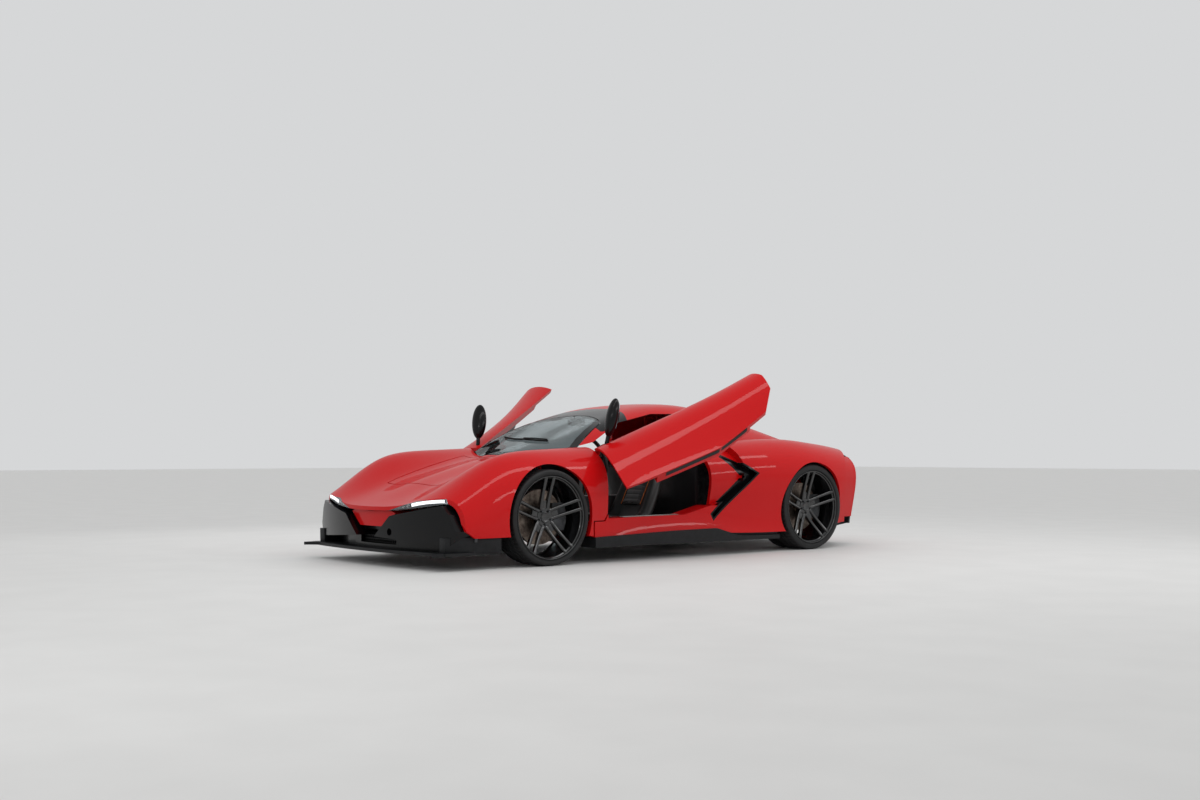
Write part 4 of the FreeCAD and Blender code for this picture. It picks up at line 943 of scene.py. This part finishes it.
class CAR_OT_cabin(bpy.types.Operator):
    """Dresses the dashboard with its hood, screen and air vents"""

    bl_idname = "car.cabin"
    bl_label = "Dress the dashboard"

    def execute(self, context):
        leather, gloss, metal = (finish_named(name) for name in (
            "nappa_leather", "black_lacquer", "brushed_stainless_steel"))
        back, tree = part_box("dashboard")[1].y, faces_of("dashboard")
        hood = bmesh.new()
        sections = []
        for y, rise in ((-0.80, 0.004), (-0.74, 0.040), (-0.66, 0.046), (-0.635, 0.040)):
            base = laid(tree, (0.37, y, 2.0), down)[0].z
            sections.append([(0.37 + x, y, base + up * rise) for x, up in (
                (-0.17, -0.10), (-0.15, 0.55), (-0.10, 0.90), (0.0, 1.0), (0.10, 0.90), (0.15, 0.55),
                (0.17, -0.10))])
        bar(hood, sections)
        bevelled(object_from("instrument_hood", hood, leather, "car"), 4.0)
        dial = bmesh.new()
        block(dial, (-0.105, back - 0.004, 0.690), (0.105, back + 0.010, 0.735))
        block(dial, (-0.085, back + 0.001, 0.680), (0.085, back + 0.012, 0.730))
        bevelled(object_from("centre_screen", dial, gloss, "car"), 4.0, 3)
        vents = bmesh.new()
        for x in (-0.50, -0.20, 0.20, 0.50):
            for radius in (0.034, 0.022, 0.010):
                before = set(vents.verts)
                lathe(vents, [(-0.004, radius - 0.004), (0.004, radius - 0.004), (0.006, radius - 0.002),
                              (0.004, radius), (-0.004, radius)], 32)
                move_new(vents, before, facing_back(x, back + 0.001, 0.708))
        object_from("air_vents", vents, metal, "car")
        return {"FINISHED"}


class CAR_OT_tail(bpy.types.Operator):
    """Fits the blank number plate and its screws"""

    bl_idname = "car.tail"
    bl_label = "Fit the number plate"

    def execute(self, context):
        tree = faces_of("tail_panel")
        spot = max(laid(tree, (x, 4.0, z), forward)[0].y
                   for x in (0.0, 0.2, -0.2) for z in (0.66, 0.72))
        plate = bmesh.new()
        block(plate, (-0.260, spot + 0.001, 0.635), (0.260, spot + 0.004, 0.745))
        bevelled(object_from("number_plate", plate, enamelled_plate(), "car"), 1.2)
        screws = bmesh.new()
        for x in (-0.14, 0.14):
            before = set(screws.verts)
            lathe(screws, [(0.0, 0.0008), (0.0, 0.0065), (0.0020, 0.0065), (0.0034, 0.0045),
                           (0.0038, 0.0008)], 20)
            move_new(screws, before, facing_back(x, spot + 0.004, 0.690))
        object_from("plate_screws", screws, finish_named("brushed_stainless_steel"), "car")
        return {"FINISHED"}


class CAR_OT_seats(bpy.types.Operator):
    """Sews the two bucket seats with stuffed pads and tan piping"""

    bl_idname = "car.seats"
    bl_label = "Sew the seats"

    # Middle line of a seat seen from the side: place back from the front lip, height, then
    # the outward direction, depth of the shell and half width.
    line = ((0.012, 0.334, -0.60, 0.80, 0.100, 0.222), (0.055, 0.342, -0.05, 1.00, 0.150, 0.232),
            (0.190, 0.327, 0.12, 0.99, 0.145, 0.236), (0.330, 0.310, 0.10, 0.99, 0.125, 0.236),
            (0.430, 0.300, -0.20, 0.98, 0.120, 0.236), (0.505, 0.318, -0.75, 0.66, 0.110, 0.234),
            (0.545, 0.398, -0.89, 0.46, 0.098, 0.232), (0.600, 0.505, -0.89, 0.46, 0.092, 0.230),
            (0.655, 0.612, -0.89, 0.46, 0.088, 0.205), (0.690, 0.680, -0.89, 0.46, 0.084, 0.140),
            (0.712, 0.724, -0.89, 0.46, 0.076, 0.112), (0.730, 0.758, -0.89, 0.46, 0.060, 0.098))

    def execute(self, context):
        leather, cloth = finish_named("nappa_leather"), finish_named("napped_microfibre")
        thread = saddle_thread()
        sizes = context.scene.car_seats
        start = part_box("seats")[0].y
        for side, x in (("left", 0.37), ("right", -0.37)):
            shell = bmesh.new()
            bar(shell, [self.ring(x, start, station) for station in self.line])
            bucket = object_from("seat_shell_" + side, shell, leather, "car", smooth=False)
            bucket.data.shade_smooth()
            smoothed(bucket, 2)
            if x > 0:
                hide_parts("seats")
            piping = bmesh.new()
            for name, stations, half in (("seat_cushion_", self.line[1:5], 0.118),
                                         ("seat_back_pad_", self.line[6:9], 0.112)):
                self.pad(name + side, x, start, stations, sizes, cloth)
                for hand in (-half, half):
                    tube(piping, [self.spot(x + hand, start, station, 0.018) for station in stations],
                         0.0032)
            object_from("seat_piping_" + side, piping, thread, "car")
        return {"FINISHED"}

    def spot(self, x, start, station, sunk):
        """A place on a seat's middle line, sunk under its crown."""
        back, height, ny, nz = station[:4]
        return Vector((x, start + back - ny * sunk, height - nz * sunk))

    def ring(self, x, start, station):
        """A section of the bucket: a sunk middle between two raised bolsters, and a round back."""
        back, height, ny, nz, depth, half = station
        points = []
        for share, sunk in ((-1.0, 0.050), (-0.94, 0.018), (-0.80, 0.002), (-0.64, 0.008), (-0.50, 0.030),
                            (-0.25, 0.036), (0.25, 0.036), (0.50, 0.030), (0.64, 0.008), (0.80, 0.002),
                            (0.94, 0.018), (1.0, 0.050), (0.96, depth - 0.020), (0.80, depth),
                            (-0.80, depth), (-0.96, depth - 0.020)):
            points.append((x + share * half, start + back - ny * sunk, height - nz * sunk))
        return points

    def pad(self, name, x, start, stations, sizes, cloth):
        """A stuffed pad in the sunk middle, swollen by pressure, then sewn across in channels."""
        shape = bmesh.new()
        half = 0.104
        bar(shape, [[self.spot(x + share * half, start, station, sunk) for share, sunk in (
            (-1.0, 0.026), (-0.92, 0.013), (0.0, 0.009), (0.92, 0.013), (1.0, 0.026), (0.9, 0.034),
            (-0.9, 0.034))] for station in stations])
        piece = object_from(name, shape, cloth, "car", smooth=False)
        swell(piece, 5.0, sizes.give)
        first, last = (self.spot(x, start, station, 0.0) for station in (stations[0], stations[-1]))
        run, spaces = last - first, sizes.channels + 1
        reach, deep = 0.010, 0.0045
        for vert in piece.data.vertices:
            share = (vert.co - first).dot(run) / run.length_squared * spaces
            near = abs(share - round(share)) * run.length / spaces
            if 0 < round(share) < spaces and near < reach:
                station = stations[min(len(stations) - 1, int(share / spaces * len(stations)))]
                sunk = deep * (1.0 + math.cos(math.pi * near / reach)) / 2
                vert.co -= Vector((0.0, station[2], station[3])) * sunk
        smoothed(piece, 1)


class CAR_OT_stage(bpy.types.Operator):
    """Sets the floor, the soft lamps and the camera"""

    bl_idname = "car.stage"
    bl_label = "Set the studio"

    def execute(self, context):
        scene = context.scene
        scene.view_settings.view_transform = "Standard"
        self.lay_floor(hex_of(scene.car_finishes.floor))
        self.hang_lamps()
        self.set_world(scene)
        self.place_camera(scene)
        return {"FINISHED"}

    def lay_floor(self, colour):
        shape = bmesh.new()
        bmesh.ops.create_grid(shape, x_segments=1, y_segments=1, size=60.0)
        mesh = bpy.data.meshes.new("floor")
        shape.to_mesh(mesh)
        shape.free()
        floor = bpy.data.objects.new("floor", mesh)
        # Sealed concrete, matt with pale soft patches; lighter than a real floor, to set the car off.
        mesh.materials.append(surface("sealed_concrete", colour, 0.6, {"Specular IOR Level": 0.2},
                                      mottled=(colour, "#D6D6D5", 400.0)))
        bpy.context.scene.collection.objects.link(floor)

    def hang_lamps(self):
        for name, place, aim, size, watts in (
            ("ceiling_strip", (2.2, -0.2, 3.6), (0.4, -0.2, 0.6), (7.0, 0.5), 46.0),
            ("side_strip", (6.5, 2.6, 2.6), (0.6, 0.6, 0.6), (5.0, 0.5), 40.0),
            ("front_strip", (4.5, -7.0, 2.6), (0.2, -1.4, 0.5), (3.0, 0.5), 26.0),
            ("far_strip", (-4.0, 0.5, 3.0), (0.0, 0.0, 0.6), (6.0, 0.5), 40.0),
        ):
            lamp = bpy.data.lights.new(name, "AREA")
            lamp.shape = "RECTANGLE"
            lamp.size, lamp.size_y = size
            lamp.energy = watts
            holder = bpy.data.objects.new(name, lamp)
            holder.location = place
            look = (Vector(aim) - Vector(place)).to_track_quat("-Z", "Y")
            holder.rotation_euler = look.to_euler()
            # Seen in the windscreen, the far lamp would hide the cabin behind a white bar.
            holder.visible_glossy = name != "far_strip"
            bpy.context.scene.collection.objects.link(holder)

    def set_world(self, scene):
        """Soft even air light on the car, and a pale backdrop where camera, glass or metal sees it."""
        world = bpy.data.worlds.new("studio_air")
        world.use_nodes = True
        tree = world.node_tree
        air = tree.nodes["Background"]
        fill(world, air, {"Color": linear("#FFFFFF"), "Strength": 0.82})
        backdrop = add(world, "ShaderNodeBackground", inputs={
            "Color": linear("#D6D7D8"), "Strength": 1.0})
        path = add(world, "ShaderNodeLightPath")
        mirror = add(world, "ShaderNodeMath", {"operation": "MAXIMUM"}, {
            0: path.outputs["Is Glossy Ray"], 1: path.outputs["Is Transmission Ray"]})
        seen = add(world, "ShaderNodeMath", {"operation": "MAXIMUM"}, {
            0: path.outputs["Is Camera Ray"], 1: mirror.outputs[0]})
        mix = add(world, "ShaderNodeMixShader", inputs={
            0: seen.outputs[0], 1: air.outputs[0], 2: backdrop.outputs[0]})
        fill(world, tree.nodes["World Output"], {"Surface": mix.outputs[0]})
        scene.world = world

    def place_camera(self, scene):
        lens = bpy.data.cameras.new("camera")
        lens.sensor_width = 36.0
        lens.lens = 41.13
        lens.shift_y = 0.0451
        lens.clip_end = 200.0
        camera = bpy.data.objects.new("camera", lens)
        camera.location = (8.477, front_axle.y - 5.890, 0.782)
        camera.rotation_euler = Euler((math.radians(90.0), 0.0, math.radians(49.96)))
        scene.collection.objects.link(camera)
        scene.camera = camera


class CAR_PT_panel(bpy.types.Panel):
    """The car's steps, in the 3D view's sidebar"""

    bl_idname = "CAR_PT_panel"
    bl_label = "Sports car"
    bl_space_type = "VIEW_3D"
    bl_region_type = "UI"
    bl_category = "Car"

    def draw(self, context):
        for held in groups:
            group = getattr(context.scene, held)
            for name in group.__annotations__:
                self.layout.prop(group, name)
        for step in steps:
            self.layout.operator(step.bl_idname)


steps = (
    CAR_OT_finishes, CAR_OT_wheels, CAR_OT_lamps, CAR_OT_meshes, CAR_OT_lower_panels, CAR_OT_tail_corners,
    CAR_OT_door_trim, CAR_OT_sill_plates, CAR_OT_glass_trim, CAR_OT_cabin, CAR_OT_tail, CAR_OT_seats,
    CAR_OT_stage)
groups = {"car_finishes": CarFinishes, "car_wheels": CarWheels, "car_seats": CarSeats}
classes = (*groups.values(), *steps, CAR_PT_panel)


def register():
    for each in classes:
        bpy.utils.register_class(each)
    for held, kind in groups.items():
        setattr(bpy.types.Scene, held, bpy.props.PointerProperty(type=kind))


def unregister():
    for held in groups:
        delattr(bpy.types.Scene, held)
    for each in reversed(classes):
        bpy.utils.unregister_class(each)


def main():
    register()
    for step in steps:
        group, name = step.bl_idname.split(".")
        getattr(getattr(bpy.ops, group), name)()


if __name__ == "__main__":
    main()
